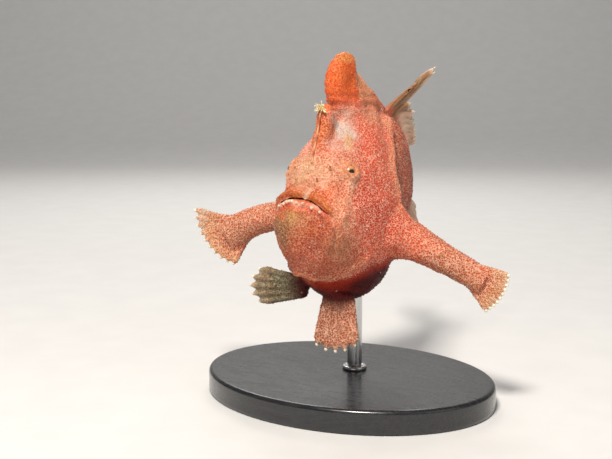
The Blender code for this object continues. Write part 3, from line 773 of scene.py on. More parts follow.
@dataclass
class Fan:
    """A fin whose rays spread from one narrow root, as on a hand."""

    name: str
    rays: int
    angles: tuple[float, float]
    lengths: tuple[float, float, float]
    curl: float
    root: tuple[Point, Point, Point, tuple[float, float]]
    notch: float = 0.09
    flare: float = 0.1
    columns: int = 10

    def form(self) -> FinForm:
        """The fan's surface: angles run evenly across it, lengths follow a parabola through three.

        Returns:
            FinForm: with columns between the rays as well as on them.
        """
        middle, forward, side, (root_wide, _) = self.root
        forward = unit(np.array(forward, float))
        side = unit(np.array(side, float) - forward * np.dot(side, forward))
        across = np.linspace(0, 1, self.rays * self.columns + 1)
        on_ray = np.sin(math.pi * across * self.rays) ** 2
        turn = np.radians(self.angles[0] + (self.angles[1] - self.angles[0]) * across)[:, None]
        length = np.polyval(np.polyfit((0, 0.5, 1), self.lengths, 2), across)[:, None]
        spot = (1 - 2 * across)[:, None]
        roots = np.array(middle) + side * root_wide * spot
        way = (np.cos(turn) * forward + np.sin(turn) * side) * length
        tips = roots + way * (1 - self.notch * (1 - on_ray[:, None]))
        return FinForm(roots, tips, on_ray**2, self.curl, side * np.sin(turn) * length * -self.flare)

    def place(self, points: Array) -> tuple[Array, Array]:
        """How far along the fan each point lies, and how surely it is beside no other part.

        Args:
            points: points of the skin.

        Returns:
            tuple: millimetres along its middle, and 1 within its spread, falling to 0 outside.
        """
        forward = unit(np.array(self.root[1], float))
        away = points - np.array(self.root[0])
        along = away @ forward
        aside = np.linalg.norm(away - along[:, None] * forward, axis=1)
        spread = max(self.lengths) * math.sin(math.radians(max(np.abs(self.angles)))) + self.root[3][0]
        return along, step(aside, spread + 3.0, spread + 1.5)

    def pad(self) -> Surface:
        """The fleshy fan, for fusing with the limb: as thick as the limb at its root.

        Returns:
            Surface: closed.
        """
        across = np.linspace(0, 1, self.rays * self.columns + 1)
        root = self.root[3][1] * np.sqrt(np.maximum(1 - (1 - 2 * across) ** 2, 0.02))
        return self.form().solid(30, (0.75, 0.5), (0.6, 0.45), root)


@dataclass
class Midline:
    """A fin along the midline, between its root line and the tips of its rays."""

    name: str
    rays: int
    root_rows: tuple[Point, ...]
    tip_rows: tuple[Point, ...]
    bow: Point
    curl: float
    root_half: float
    ripple: float
    waves: float
    stands_for: str
    spike: int = 0
    columns: int = 10
    notch: float = 0.14

    def form(self) -> FinForm:
        """The fin's surface: between two rays the edge falls in an arc to the shorter ray's length.

        Returns:
            FinForm: with columns between the rays as well as on them.
        """
        across = np.linspace(0, 1, self.rays * self.columns + 1)
        phase = across * self.rays - 0.5
        on_ray = np.cos(math.pi * phase) ** 2
        roots = line_at(self.root_rows, across)
        spread = np.clip(phase / (self.rays - 1), -0.04, 1.04)
        tips = line_at(self.tip_rows, clamp(spread))
        peaks = line_at(self.tip_rows, np.linspace(0, 1, self.rays))
        bases = line_at(self.root_rows, (np.arange(self.rays) + 0.5) / self.rays)
        lengths = np.linalg.norm(peaks - bases, axis=1)
        before = np.clip(np.floor(phase).astype(int), 0, self.rays - 1)
        after = np.clip(before + 1, 0, self.rays - 1)
        part = clamp(phase - np.floor(phase))
        shorter = np.minimum(lengths[before], lengths[after])
        fall = np.where(lengths[before] > lengths[after], part, 1 - part)
        longer = np.maximum(lengths[before], lengths[after])
        reach = shorter + (longer - shorter) * clamp(1 - fall / 0.45) ** 1.5
        reach = reach * (1 - self.notch * (1 - on_ray))
        tips = roots + unit(tips - roots) * reach[:, None]
        bow = np.broadcast_to(np.array(self.bow), roots.shape)
        return FinForm(roots, tips, on_ray**2, self.curl, bow, self.ripple, self.waves)


# Places x along the edge of the chest, and its height z at each.
CHEST_EDGE = (
    (-9.0, -3.5, 0.3, 3.1, 5.6, 8.0, 10.6, 12.6),
    (-20.5, -22.3, -22.7, -23.6, -23.7, -23.0, -20.4, -18.7),
)
# Heights z along the ridge of the flank, and its place y at each.
RIDGE_LINE = ((-4.4, 0.6, 4.8, 9.3, 14.6, 20.5), (29.2, 28.9, 27.6, 30.0, 36.9, 43.4))
# Cuts of the body: y, middle x, top, bottom, half width, widest level, and the powers above and below it.
BODY_ROWS = (
    (-3.6, 0.0, -7.0, -8.0, 0.5, -7.5, 1.00, 1.00),
    (-3.0, 0.0, -3.4, -12.4, 5.0, -7.6, 1.00, 1.10),
    (-1.4, 0.0, -0.4, -17.2, 8.4, -7.8, 1.00, 1.20),
    (0.8, 0.0, 3.4, -20.8, 10.6, -7.8, 1.05, 1.25),
    (3.6, 0.0, 8.2, -23.6, 11.7, -7.8, 0.98, 1.25),
    (7.5, 0.0, 13.2, -26.6, 12.6, -7.8, 0.90, 1.20),
    (12.0, 0.0, 16.6, -29.6, 13.8, -8.0, 0.94, 1.15),
    (18.0, 0.0, 20.8, -32.2, 15.2, -8.5, 1.12, 1.05),
    (25.0, 0.0, 24.6, -33.0, 15.8, -8.5, 1.20, 1.00),
    (32.0, -0.2, 26.0, -31.6, 14.0, -7.5, 1.15, 1.00),
    (40.0, -0.6, 25.6, -28.0, 10.6, -6.0, 1.10, 1.00),
    (48.0, -1.0, 23.6, -22.6, 9.2, -4.0, 1.05, 1.00),
    (56.0, -1.6, 19.6, -16.4, 7.6, -2.0, 1.00, 1.00),
    (62.0, -2.8, 15.6, -12.0, 6.2, -1.0, 1.00, 1.00),
    (68.0, -4.9, 11.4, -8.8, 5.0, 0.0, 1.00, 1.00),
    (74.0, -7.8, 8.0, -6.8, 4.0, 0.3, 1.00, 1.00),
    (80.0, -11.4, 6.8, -6.2, 3.0, 0.3, 1.00, 1.00),
    (83.0, -13.4, 5.4, -5.0, 1.4, 0.3, 1.00, 1.00),
)
# Cuts of the limbs and spines: x, y, z, and two half widths, the first towards the limb's upper side.
LEFT_ARM = (
    (6.0, 27.0, -10.6, 9.5, 10.5),
    (13.0, 29.0, -12.6, 8.4, 9.0),
    (18.5, 30.3, -14.6, 5.9, 6.2),
    (24.0, 31.2, -17.0, 4.6, 4.8),
    (30.5, 32.2, -19.9, 4.2, 4.0),
    (36.5, 33.0, -22.9, 4.0, 3.4),
    (41.0, 33.4, -25.4, 4.0, 3.0),
)
RIGHT_ARM = (
    (-6.0, 27.0, -9.0, 9.5, 10.5),
    (-13.0, 28.0, -9.2, 8.4, 9.0),
    (-18.5, 26.8, -8.8, 5.8, 6.0),
    (-24.0, 25.0, -9.0, 4.6, 4.8),
    (-30.5, 23.0, -10.6, 4.5, 4.2),
    (-36.0, 21.2, -13.4, 4.7, 3.6),
    (-40.5, 20.0, -16.6, 5.0, 3.0),
)
THIRD_SPINE = (
    (0.0, 26.0, 19.0, 5.6, 7.4),
    (0.0, 24.0, 25.0, 4.7, 6.9),
    (0.0, 21.4, 29.5, 4.1, 6.8),
    (0.0, 21.3, 33.4, 3.9, 6.6),
    (0.0, 23.0, 37.0, 3.3, 5.2),
    (0.0, 24.4, 39.4, 2.2, 3.2),
    (0.0, 25.0, 40.6, 0.6, 0.8),
)
SPINE_FOLD = (
    (0.0, 22.0, 31.0, 1.6, 5.0),
    (0.0, 27.0, 29.6, 2.4, 6.0),
    (0.0, 32.5, 26.6, 2.8, 5.6),
    (0.0, 39.0, 24.0, 2.8, 4.8),
    (0.0, 46.0, 22.4, 2.2, 3.2),
    (0.0, 50.0, 21.4, 0.6, 1.0),
)
SPINE_WEB = (
    (0.0, 10.5, 11.0, 3.0, 3.6),
    (0.0, 12.8, 15.5, 2.7, 3.6),
    (0.0, 14.6, 19.5, 2.2, 3.0),
    (0.0, 15.8, 22.6, 1.2, 1.6),
    (0.0, 16.2, 23.6, 0.3, 0.4),
)
SECOND_SPINE = (
    (0.0, 8.2, 10.0, 3.4, 3.6),
    (0.0, 9.4, 14.5, 2.9, 2.9),
    (0.0, 10.8, 19.0, 2.5, 2.3),
    (0.0, 12.0, 22.6, 2.5, 2.2),
    (0.0, 12.8, 25.2, 1.8, 1.6),
    (0.0, 13.1, 26.2, 0.4, 0.4),
)


def body_sections(around: int = 96) -> Array:
    """Rings of the body: egg outlines, cosine and sine raised to the powers of the table.

    Args:
        around: points on each ring.

    Returns:
        ndarray: rings, points, x y z.
    """
    rows = smooth_rows(BODY_ROWS, 5)
    angle = once_round(around)
    y, middle, top, bottom, half, level, upper, lower = (rows[:, i, None] for i in range(8))
    power = np.where(np.sin(angle) > 0, upper, lower)
    across = np.sign(np.cos(angle)) * np.abs(np.cos(angle)) ** power
    height = np.where(np.sin(angle) > 0, top - level, level - bottom) * np.sin(angle)
    return np.stack([middle + half * across, y + 0 * across, level + height], axis=-1)


def limb_sections(rows: tuple, up: Point, around: int = 48) -> Array:
    """Rings of a limb: ellipses square to its middle line, the first half width towards up.

    Args:
        rows: place and two half widths of each cut.
        up: the way that the first half width lies.
        around: points on each ring.

    Returns:
        ndarray: rings, points, x y z.
    """
    rows = smooth_rows(np.asarray(rows), 6)
    middle = rows[:, :3]
    along = unit(np.gradient(middle, axis=0))
    side = unit(np.cross(along, np.array(up, float)))
    rise = np.cross(side, along)
    angle = once_round(around)[None, :, None]
    wide = rise[:, None] * rows[:, None, 3:4] * np.cos(angle)
    return middle[:, None] + wide + side[:, None] * rows[:, None, 4:5] * np.sin(angle)


def wrist(rows: tuple) -> tuple[Point, Point, Point, tuple[float, float]]:
    """Root of a hand: the limb's last cut but one, its direction, its upward side and its widths.

    Args:
        rows: the limb's table.

    Returns:
        tuple: place, direction, side and widths.
    """
    table = np.asarray(rows, float)
    forward = unit(table[-1, :3] - table[-2, :3])
    side = unit(np.array((0, 0, 1.0)) - forward * forward[2])
    return tuple(table[-2, :3]), tuple(forward), tuple(side), (table[-2, 3], table[-2, 4])


@dataclass
class Face:
    """Sizes of the face, in millimetres."""

    mouth_half: float = 8.8
    mouth_drop: float = 3.6
    mouth_bend: float = 2.2
    mouth_tilt: float = 0.09
    mouth_open: float = 0.32
    lip_cleft: float = 2.2
    jaw_back: float = 6.5
    eye: Point = (9.0, 9.8, 7.0)
    eye_radius: float = 1.95
    eye_folds: int = 11
    nostrils: tuple[Point, ...] = ((3.2, 1.5, 5.2), (5.6, 4.6, 8.4))
    cheek_ridge: tuple[Point, ...] = (
        (10.4, 9.2, 5.4), (10.1, 8.1, 3.0), (10.0, 6.6, 0.0), (10.6, 4.2, -3.4), (10.0, 2.6, -6.0),
    )
    flank_ridge: tuple[Point, ...] = (
        (4.1, 43.4, 20.5), (8.6, 36.9, 14.6), (12.4, 30.0, 9.3), (14.0, 27.6, 4.8), (14.2, 28.9, 0.6),
        (15.4, 29.2, -4.4),
    )
    chest: tuple[Point, ...] = (
        (-9.0, 10.0, -20.0), (-3.5, 2.9, -21.7), (0.3, 2.1, -22.1), (3.1, 4.1, -23.0), (5.6, 6.5, -23.1),
        (8.0, 8.7, -22.4), (10.6, 10.4, -19.8), (12.6, 13.8, -18.1),
    )
    jaw_fold: tuple[Point, ...] = ((8.9, 0.2, -4.6), (9.6, 1.0, -8.0), (9.2, 1.4, -11.5), (7.6, 1.6, -15.0))
    pore: Point = (12.6, 37.5, -19.0)
    settled: dict[tuple, Array] = field(default_factory=dict)

    def line(self, x: Array) -> Array:
        """Height of the mouth line: a power of the distance from the middle, drooping to both corners."""
        return -self.mouth_drop * np.abs(x / self.mouth_half) ** self.mouth_bend - self.mouth_tilt * x

    def slit(self) -> Surface:
        """The open slit of the mouth, a lens between the lips that closes to its corners.

        Returns:
            Surface: closed, for cutting out.
        """
        x = np.linspace(-self.mouth_half - 0.2, self.mouth_half + 0.2, 60)[:, None]
        y = np.array([-9.0, 0.0, self.jaw_back])[None, :]
        flat = 0 * x * y
        slope = -np.gradient(self.line(x[:, 0]), x[:, 0])[:, None]
        normal = unit(np.stack([slope + flat, flat, 1 + flat], axis=-1))
        middle = np.stack([x + flat, y + flat, self.line(x) + flat], axis=-1)
        lens = np.sqrt(clamp(1 - (x / (self.mouth_half + 0.25)) ** 2))
        uneven = 1 + 0.35 * np.sin(1.9 * x + 1.0) + 0.3 * np.sin(4.3 * x)
        return sheet(middle, normal, 0.04 + self.mouth_open / 2 * lens * uneven + flat)

    def settle(self, points: Array) -> None:
        """Lay the lines of ridges and folds onto the skin, by its nearest points, evened out.

        Args:
            points: points of the skin.
        """
        for path in (self.cheek_ridge, self.flank_ridge, self.jaw_fold, self.chest):
            line = smooth_rows(np.asarray(path), 8)
            line = points[[int(np.argmin(((points - spot) ** 2).sum(axis=1))) for spot in line]]
            for _ in range(3):
                line[1:-1] = (line[:-2] + 2 * line[1:-1] + line[2:]) / 4
            self.settled[path] = line

    def nearest(self, points: Array, path: tuple[Point, ...], both: bool) -> Array:
        """Distance of each point from a settled line, on both sides of the body if both.

        Args:
            points: the points.
            path: the field that the line was settled from.
            both: whether it runs on both sides.

        Returns:
            ndarray: a distance for each point, in millimetres.
        """
        line = self.settled[path]
        spots = mirrored(points) if both else points
        away = np.full(len(points), np.inf)
        for start, end in zip(line[:-1], line[1:]):
            span = end - start
            t = clamp((spots - start) @ span / (span @ span))
            away = np.minimum(away, np.linalg.norm(spots - start - t[:, None] * span, axis=1))
        return away


def mirrored(points: Array) -> Array:
    """The points with the left half of the body laid over the right."""
    return np.column_stack([np.abs(points[:, 0]), points[:, 1:]])


class SkinPaint:
    """The markings of the skin, with painted shade and painted highlights: blends of the palette by bells and
    steps over the body, with noise.
    """

    def __init__(self, face: Face, points: Array, reach: Array) -> None:
        """Start from an even pink, and work out the regions that the markings share.

        Args:
            face: sizes of the face, its lines laid onto the skin.
            points: points of the skin.
            reach: how far out each point lies along each fan.
        """
        self.face, self.points, self.reach = face, points, reach
        wobble = np.stack([lattice_noise(points, 5.0, seed) for seed in (11, 12, 13)], axis=1)
        self.spots = points + 1.6 * wobble
        self.half = mirrored(self.spots)
        self.x, self.y, self.z = self.spots.T
        self.patchy, self.large = lattice_noise(points, 3.4, 21), lattice_noise(points, 8.0, 22)
        self.off = self.z - face.line(self.x)
        self.over_edge = self.z - np.interp(self.x, *CHEST_EDGE)
        self.front = step(self.y, 9.0, 5.0)
        self.lip = self.front * step(np.abs(self.x), 10.5, 8.5)
        self.chin = step(self.y, 12.0, 4.0) * step(self.off, -1.5, -3.5)
        self.third = step(self.z, 23.5, 26.5) * step(self.y, 40.0, 33.0)
        self.second = near(self.spots, (0.0, 9.5, 17.0), (2.8, 3.6, 6.0))
        self.second = self.second + near(self.spots, (0.0, 12.0, 23.0), (3.0, 3.0, 4.0))
        self.bare = near(self.half, (3.9, 14.6, 18.2), (3.0, 4.4, 5.6)) * (1 - clamp(self.second))
        self.from_eye = np.linalg.norm(mirrored(points) - np.array(face.eye), axis=1)
        self.arm = step(np.abs(self.x), 18.0, 30.0)
        self.fins = reach.max(axis=1)
        self.tint = np.tile(np.array(PALETTE.pink), (len(points), 1))

    def finished(self) -> tuple[Array, Array]:
        """Lay the markings one over another, darken and lighten the whole by noise, darken the chin as
        painted shade, and make the right side a tenth darker.

        Returns:
            tuple: a linear colour for each point, and how strong its dots are.
        """
        layers = [self.flanks, self.snout, self.mouth, self.jaw, self.underside]
        for layer in [*layers, self.spines, self.ridges, self.limbs]:
            layer()
        # painted shade: the chin is darkened by up to 18 %; the right side is made a tenth darker
        shade = (1 + 0.10 * self.large + 0.07 * self.patchy) * (1 - 0.18 * self.chin)
        self.tint *= (shade * (1 - 0.1 * step(-self.x, 12.0, 20.0)))[:, None]
        return np.clip(self.tint, 0.005, 0.95), self.dots()

    def blend(self, colour: Colour, amount: Array) -> None:
        """Move the tint towards a colour by an amount from 0 to 1."""
        blend(self.tint, colour, amount)

    def bell(self, middle: Point, reach: Point) -> Array:
        """A bell on both sides of the body."""
        return near(self.half, middle, reach)

    def flanks(self) -> None:
        """Coral sides, and tan painted shade on the plane behind the ridge of the flank and on the hind part
        of the body.
        """
        self.blend(PALETTE.coral, 0.95 * self.bell((13.5, 15.0, -3.0), (8.0, 9.0, 12.0)))
        upper = 0.75 * self.bell((7.5, 18.0, 14.0), (6.0, 9.0, 7.0))
        self.blend(PALETTE.coral, upper * (0.8 + 0.4 * self.patchy))
        # painted shade: tan on the plane behind the ridge of the flank and over the hind part of the body
        behind = self.y - np.interp(self.z, *RIDGE_LINE)
        painted_shade_rear = step(behind, 0.5, 3.0) * step(self.z, -14.0, -5.0) * step(np.abs(self.points[:, 0]), 2.0, 5.0)
        self.blend(PALETTE.tan, 0.85 * np.maximum(painted_shade_rear, step(self.y, 42.0, 50.0)))
        self.blend(PALETTE.coral, 0.3 * step(self.y, 36.0, 44.0) * clamp(0.4 + self.large))

    def snout(self) -> None:
        """A pale snout, with orange beside the lips and cream at the corners of the mouth."""
        broken = 0.85 + 0.35 * self.patchy
        self.blend(PALETTE.snout, 1.05 * self.bell((0.0, 2.5, 7.5), (9.0, 6.5, 5.5)) * broken)
        self.blend(PALETTE.muzzle, 0.7 * self.bell((7.5, 7.0, 9.0), (4.5, 5.0, 5.5)))
        self.blend(PALETTE.orange, 0.6 * self.bell((7.5, 2.0, 2.4), (2.6, 3.0, 1.8)))
        self.blend(PALETTE.cream, 0.6 * self.bell((9.6, 3.0, -3.0), (1.8, 4.0, 5.0)))

    def mouth(self) -> None:
        """Orange lobes of the upper lip, a pale streak between them, and brown painted shade along the line
        over the slit.
        """
        off, middle = self.off, bell(self.x, 0.8, self.face.lip_cleft)
        self.blend(PALETTE.lip, self.lip * bell(off, 1.6, 1.4, 4) * (1 - middle))
        streak = 0.75 * self.front * middle * step(off, 0.3, 1.0) * step(off, 5.0, 3.0)
        self.blend(PALETTE.lip_streak, streak)
        # painted shade: brown just over the slit, under the roll of the upper lip
        self.blend(PALETTE.lip_painted_shade, 0.8 * self.lip * bell(off, 0.45, 0.5) * (1 - middle))

    def jaw(self) -> None:
        """An orange chin in patches, yellow and dark olive on its right, the olive partly its own colour and
        partly painted shade, and the white edge of the lower lip.
        """
        chin, z, patchy = self.chin, self.z, self.patchy
        self.blend(PALETTE.chin, 0.95 * chin)
        rust = np.clip(0.3 + 1.8 * patchy + 0.4 * self.large, 0, 0.9)
        self.blend(PALETTE.rust, chin * rust * step(z, -17.0, -11.0))
        self.blend(PALETTE.salmon, chin * 0.8 * near(self.spots, (4.0, 1.0, -15.0), (6.0, 7.0, 5.5)))
        # dark olive on the upper right of the chin: partly its own colour, partly painted shade
        olive_shade_amount = np.clip(0.65 - 0.9 * patchy, 0, 0.8)
        self.blend(PALETTE.chin_olive_and_painted_shade, chin * olive_shade_amount * step(self.x, 2.0, -5.0) * step(z, -18.0, -12.0))
        spot = near(self.spots, (-2.0, -3.0, -4.5), (4.5, 4.0, 2.6))
        self.blend(PALETTE.yellow, chin * 0.85 * spot * clamp(0.7 - patchy))
        self.blend(PALETTE.chin_pale, chin * 1.2 * clamp(-self.large - 0.15))
        self.blend(PALETTE.throat, chin * 0.4 * step(z, -14.0, -19.0))
        rim = bell(self.off, 0.5, -0.8)
        self.blend(PALETTE.white, 0.8 * self.lip * rim * clamp(0.75 + 1.2 * patchy))

    def underside(self) -> None:
        """Deep red under the edge of the chest, partly the skin's own red and partly painted shade, with
        darker painted shade further down.
        """
        below = step(self.y, 3.0, 8.0) * step(self.y, 60.0, 45.0) * step(np.abs(self.x), 22.0, 16.0)
        # painted shade under the edge of the chest, deepest further down
        self.blend(PALETTE.belly_red_and_painted_shade, 0.95 * step(self.over_edge, 0.3, -1.5) * below)
        self.blend(PALETTE.belly_painted_shade, 0.95 * step(self.over_edge, -1.5, -6.0) * below)

    def spines(self) -> None:
        """The orange knob of the third spine, the second spine, and the bare patch beside it."""
        third, second, patchy, y, z = self.third, self.second, self.patchy, self.y, self.z
        self.blend(PALETTE.orange, 0.95 * third)
        self.blend(PALETTE.coral, 0.35 * third * step(z, 31.0, 27.0))
        self.blend(PALETTE.yellow, 0.4 * step(z, 36.5, 40.0))
        self.blend(PALETTE.knob_back, 0.95 * third * step(y, 23.0, 25.4) * step(z, 25.0, 28.0))
        rim = 0.7 * step(y, 22.5, 26.0) * step(y, 46.0, 40.0) * step(z, 18.0, 21.5) * step(z, 28.5, 26.5)
        self.blend(PALETTE.fold, rim)
        self.blend(PALETTE.white, 0.55 * self.bell((3.6, 17.5, 23.2), (2.6, 3.4, 1.8)))
        self.blend(PALETTE.spine, 1.4 * second)
        self.blend(PALETTE.spine_shade, 1.3 * second * clamp(patchy))
        self.blend(PALETTE.yellow, 1.0 * second * clamp(-patchy - 0.1))
        self.blend(PALETTE.bare, 2.6 * self.bare * clamp(0.8 + 0.8 * patchy))
        self.blend(PALETTE.yellow, 0.8 * self.bell((5.6, 14.2, 14.6), (1.2, 2.0, 4.2)))

    def ridges(self) -> None:
        """Cream along the ridges, partly their pale colour and partly a painted highlight, and cream on the
        edge of the chest and round the eye.
        """
        face = self.face
        self.blend(PALETTE.cream, 0.7 * self.bell((9.8, 4.2, -8.5), (2.0, 3.4, 5.5)))
        # cream along the ridges of cheek and flank: partly their pale colour, partly a painted highlight on
        # their crests
        away = [face.nearest(self.spots, path, True) for path in (face.cheek_ridge, face.flank_ridge)]
        self.blend(PALETTE.cream, 0.7 * bell(np.minimum(*away), 2.0))
        streak = 0.55 * self.bell((11.0, 8.0, -3.0), (1.6, 3.0, 6.5))
        self.blend(PALETTE.cheek, streak * clamp(0.7 + self.patchy))
        self.blend(PALETTE.cream, 0.55 * bell(face.nearest(self.points, face.chest, False), 1.2))
        self.blend(PALETTE.cream, 0.7 * step(self.from_eye, 4.6, 2.4))
        self.blend(PALETTE.white, 0.5 * self.bell((10.4, 8.6, 4.6), (1.6, 1.6, 2.0)))

    def limbs(self) -> None:
        """Peach arms, yellowish hands, a red left pelvic fin and a right pelvic fin in dark grey-green
        painted shade, all with pale ends.
        """
        reach, fins, patchy = self.reach, self.fins, self.patchy
        self.blend(PALETTE.peach, 0.85 * self.arm)
        self.blend(PALETTE.coral, 0.25 * self.arm * clamp(patchy * 1.4))
        self.blend(PALETTE.cream, 0.5 * step(fins, 0.3, 0.9))
        self.blend(PALETTE.left_pelvic, 0.9 * step(reach[:, 2], 0.1, 0.4))
        # painted shade: the right pelvic fin dark grey-green, as it lies in shadow, paler at its end
        self.blend(PALETTE.right_pelvic_painted_shade, 0.95 * step(reach[:, 3], 0.05, 0.45))
        self.blend(PALETTE.right_pelvic_end, 0.8 * step(reach[:, 3], 0.6, 0.95) * clamp(0.7 + patchy))
        self.blend(PALETTE.cream, 0.2 * step(-self.x, 14.0, 24.0) * step(self.z, -20.0, -17.0))
        self.blend(PALETTE.hand, 0.6 * step(np.maximum(reach[:, 0], reach[:, 1]), 0.5, 0.9))
        self.blend(PALETTE.olive, 0.4 * step(fins, 0.3, 0.8) * clamp(patchy))
        self.blend(PALETTE.white, 0.75 * step(fins, 0.86, 0.99))

    def dots(self) -> Array:
        """How strong the dots are: strongest on the flanks, faint on snout, lips, spines and underside.

        Returns:
            ndarray: a strength from 0 to 1 for each point.
        """
        left, right = self.reach[:, 2], self.reach[:, 3]
        marks = np.full(len(self.points), 0.75)
        marks += 0.25 * self.bell((13.0, 16.0, 0.0), (9.0, 12.0, 14.0)) + 0.1 * self.arm
        marks -= 0.3 * self.chin + 0.5 * self.third + 0.3 * clamp(self.second)
        pale = 0.38 * self.bell((0.0, 2.5, 6.5), (9.0, 7.0, 6.0)) + 1.2 * self.bare
        marks -= pale + 0.5 * step(self.from_eye, 4.0, 2.4)
        # the dots fade under the edge of the chest, so that the painted shade there stays deep
        below = step(self.over_edge, 0.0, -3.0) * step(self.y, 3.0, 8.0)
        marks -= 0.85 * below * step(np.abs(self.x), 22.0, 16.0)
        marks -= 0.5 * self.lip * bell(self.off, 2.4)
        marks = clamp(marks)
        marks += (0.75 - marks) * step(left, 0.1, 0.4) + (0.35 - marks) * step(right, 0.05, 0.4)
        return clamp(marks - 0.3 * step(self.fins, 0.8, 1.0))


@dataclass
class Flesh:
    """The one skin: body, limbs, spines and fleshy fins fused, softened and given their relief."""

    face: Face
    fans: list[Fan]
    voxel: float = 0.45
    passes: int = 21
    eyes: list[int] = field(default_factory=lambda: [1, -1])

    def fused(self) -> Surface:
        """Body, limbs, spines and fans as one closed mesh on a grid of voxels.

        Returns:
            Surface: in millimetres of the fish's frame.
        """
        parts = [loft(body_sections())]
        parts += [loft(limb_sections(rows, (0, 0, 1))) for rows in (LEFT_ARM, RIGHT_ARM)]
        spines = (THIRD_SPINE, SPINE_FOLD, SPINE_WEB, SECOND_SPINE)
        parts += [loft(limb_sections(rows, (1, 0, 0))) for rows in spines]
        parts += [fan.pad() for fan in self.fans]
        piece = bpy.data.objects.new("rough", to_mesh("rough", joined(parts)))
        bpy.context.scene.collection.objects.link(piece)
        blend = piece.modifiers.new("Blend", "REMESH")
        blend.mode = "VOXEL"
        blend.voxel_size = self.voxel * MM
        mesh = evaluated(piece)
        points = read_points(mesh)
        quads = np.empty(len(mesh.loops), np.int64)
        mesh.loops.foreach_get("vertex_index", quads)
        bpy.data.meshes.remove(mesh)
        return Surface(points, [quads.reshape(-1, 4)])

    def softened(self, surface: Surface) -> Surface:
        """Each pass moves a point towards the mean of its neighbours, less on the thin fins.

        Args:
            surface: the fused mesh.

        Returns:
            Surface: the same faces with softer points.
        """
        quads = surface.faces[0]
        pairs = np.sort(np.stack([quads, np.roll(quads, -1, axis=1)], axis=-1).reshape(-1, 2), axis=1)
        pairs = np.unique(pairs, axis=0)
        points, count = surface.points, len(surface.points)
        links = np.bincount(pairs.ravel(), minlength=count)[:, None]
        strength = 0.5 * (1 - 0.93 * self.on_fins(points))[:, None]
        for _ in range(self.passes):
            total = np.stack(
                [
                    np.bincount(pairs[:, 0], points[pairs[:, 1], axis], count)
                    + np.bincount(pairs[:, 1], points[pairs[:, 0], axis], count)
                    for axis in range(3)
                ],
                axis=1,
            )
            points = points + strength * (total / links - points)
        return Surface(points, surface.faces)

    def on_fins(self, points: Array) -> Array:
        """How far each point lies on a hand or pelvic fin: 0 at its root, 1 from a quarter out.

        Args:
            points: the points.

        Returns:
            ndarray: a value from 0 to 1 for each.
        """
        out = np.zeros(len(points))
        for fan in self.fans:
            along, within = fan.place(points)
            out = np.maximum(out, step(along, 0.5, 4.5) * within)
        return out

    def relief(self, points: Array) -> Array:
        """How far the skin stands out: lips, rings and folds of the eyes, ridges, folds and warts.

        Args:
            points: points of the softened mesh.

        Returns:
            ndarray: a distance along each normal, in millimetres.
        """
        face, (x, y, z), half = self.face, points.T, mirrored(points)
        off, front = z - face.line(x), step(y, 8.0, 5.0)
        out = self.lips(points)
        self.raise_eyes(out, half)
        self.raise_folds(out, points)
        self.raise_spine(out, points)
        calm = 1 - 0.75 * self.on_fins(points)
        out += calm * 0.34 * lattice_noise(points, 7.0, 1)
        out += 0.5 * lattice_noise(points, 4.6, 16) * front * step(off, -2.5, -5.0) * step(z, -22.0, -18.0)
        out += calm * 0.18 * lattice_noise(points, 2.6, 2) * step(z, 40.0, 34.0)
        lump = lattice_noise(points, 1.9, 5)
        out += 0.32 * clamp(lump - 0.42) * calm * (0.5 + self.warty(points))
        return out

    def lips(self, points: Array) -> Array:
        """Relief of the mouth: two lobes over a crease above the slit, and an uneven roll below it.

        Args:
            points: points of the softened mesh.

        Returns:
            ndarray: a distance along each normal, in millimetres.
        """
        face, (x, y, z) = self.face, points.T
        off = z - face.line(x)
        corners = step(np.abs(x), face.mouth_half + 2.2, face.mouth_half - 1.0)
        lobes = 1 - 0.8 * bell(x, 0.8, face.lip_cleft)
        upper = (1.25 + 0.25 * lattice_noise(points, 2.4, 15)) * bell(off, 1.0, 1.4) * lobes
        crease = -0.6 * bell(off, 0.7, 3.2)
        lower = 0.55 * bell(off, 0.65, -1.0) - 0.25 * bell(off, 0.7, -2.4)
        seam = -0.25 * bell(off, 0.45)
        lower = lower * (1 + 0.7 * lattice_noise(points, 1.3, 14))
        return step(y, 8.0, 5.0) * corners * (upper + crease + lower + seam)

    def raise_eyes(self, out: Array, half: Array) -> None:
        """Add the ring and the radial folds of the eye, with a hollow below it.

        Args:
            out: the relief, added to in place.
            half: points with the left half over the right.
        """
        face, from_eye = self.face, half - np.array(self.face.eye)
        away = np.linalg.norm(from_eye, axis=1)
        turn = np.arctan2(from_eye[:, 2], from_eye[:, 1])
        out += 0.8 * bell(away, 0.75, 2.15) - 0.15 * bell(away, 0.7, 3.9)
        folds = np.cos(face.eye_folds * turn + lattice_noise(half, 2.0, 9))
        out += 0.13 * folds * bell(away, 1.3, 3.6)
        out -= 1.5 * near(half, (10.6, 6.0, 1.2), 4.2)

    def raise_folds(self, out: Array, points: Array) -> None:
        """Add the ridges of cheek and flank, the edge of the chest, the fold of the jaw and the pores.

        Args:
            out: the relief, added to in place.
            points: points of the softened mesh.
        """
        face, (_, y, z), half = self.face, points.T, mirrored(points)
        cheek = face.nearest(points, face.cheek_ridge, True)
        out += 0.55 * bell(cheek, 1.5) + 0.6 * near(half, (10.4, 8.4, 3.6), (1.5, 1.5, 2.2))
        fold = face.nearest(points, face.flank_ridge, True)
        out += 1.05 * bell(fold, 1.8)
        out -= 1.3 * bell(fold, 2.8, 4.2) * step(y, 29.0, 33.0)
        chest = face.nearest(points, face.chest, False)
        out += 0.85 * bell(chest, 1.2) * (1 + 0.8 * lattice_noise(points, 2.2, 8))
        out -= 0.7 * bell(chest, 1.5, 3.0) * step(z, -20.0, -24.0)
        out -= 0.55 * bell(face.nearest(points, face.jaw_fold, True), 0.9)
        away = np.linalg.norm(half - np.array(face.pore), axis=1)
        out += 0.7 * bell(away, 0.6, 1.7) - 1.3 * bell(away, 1.0)

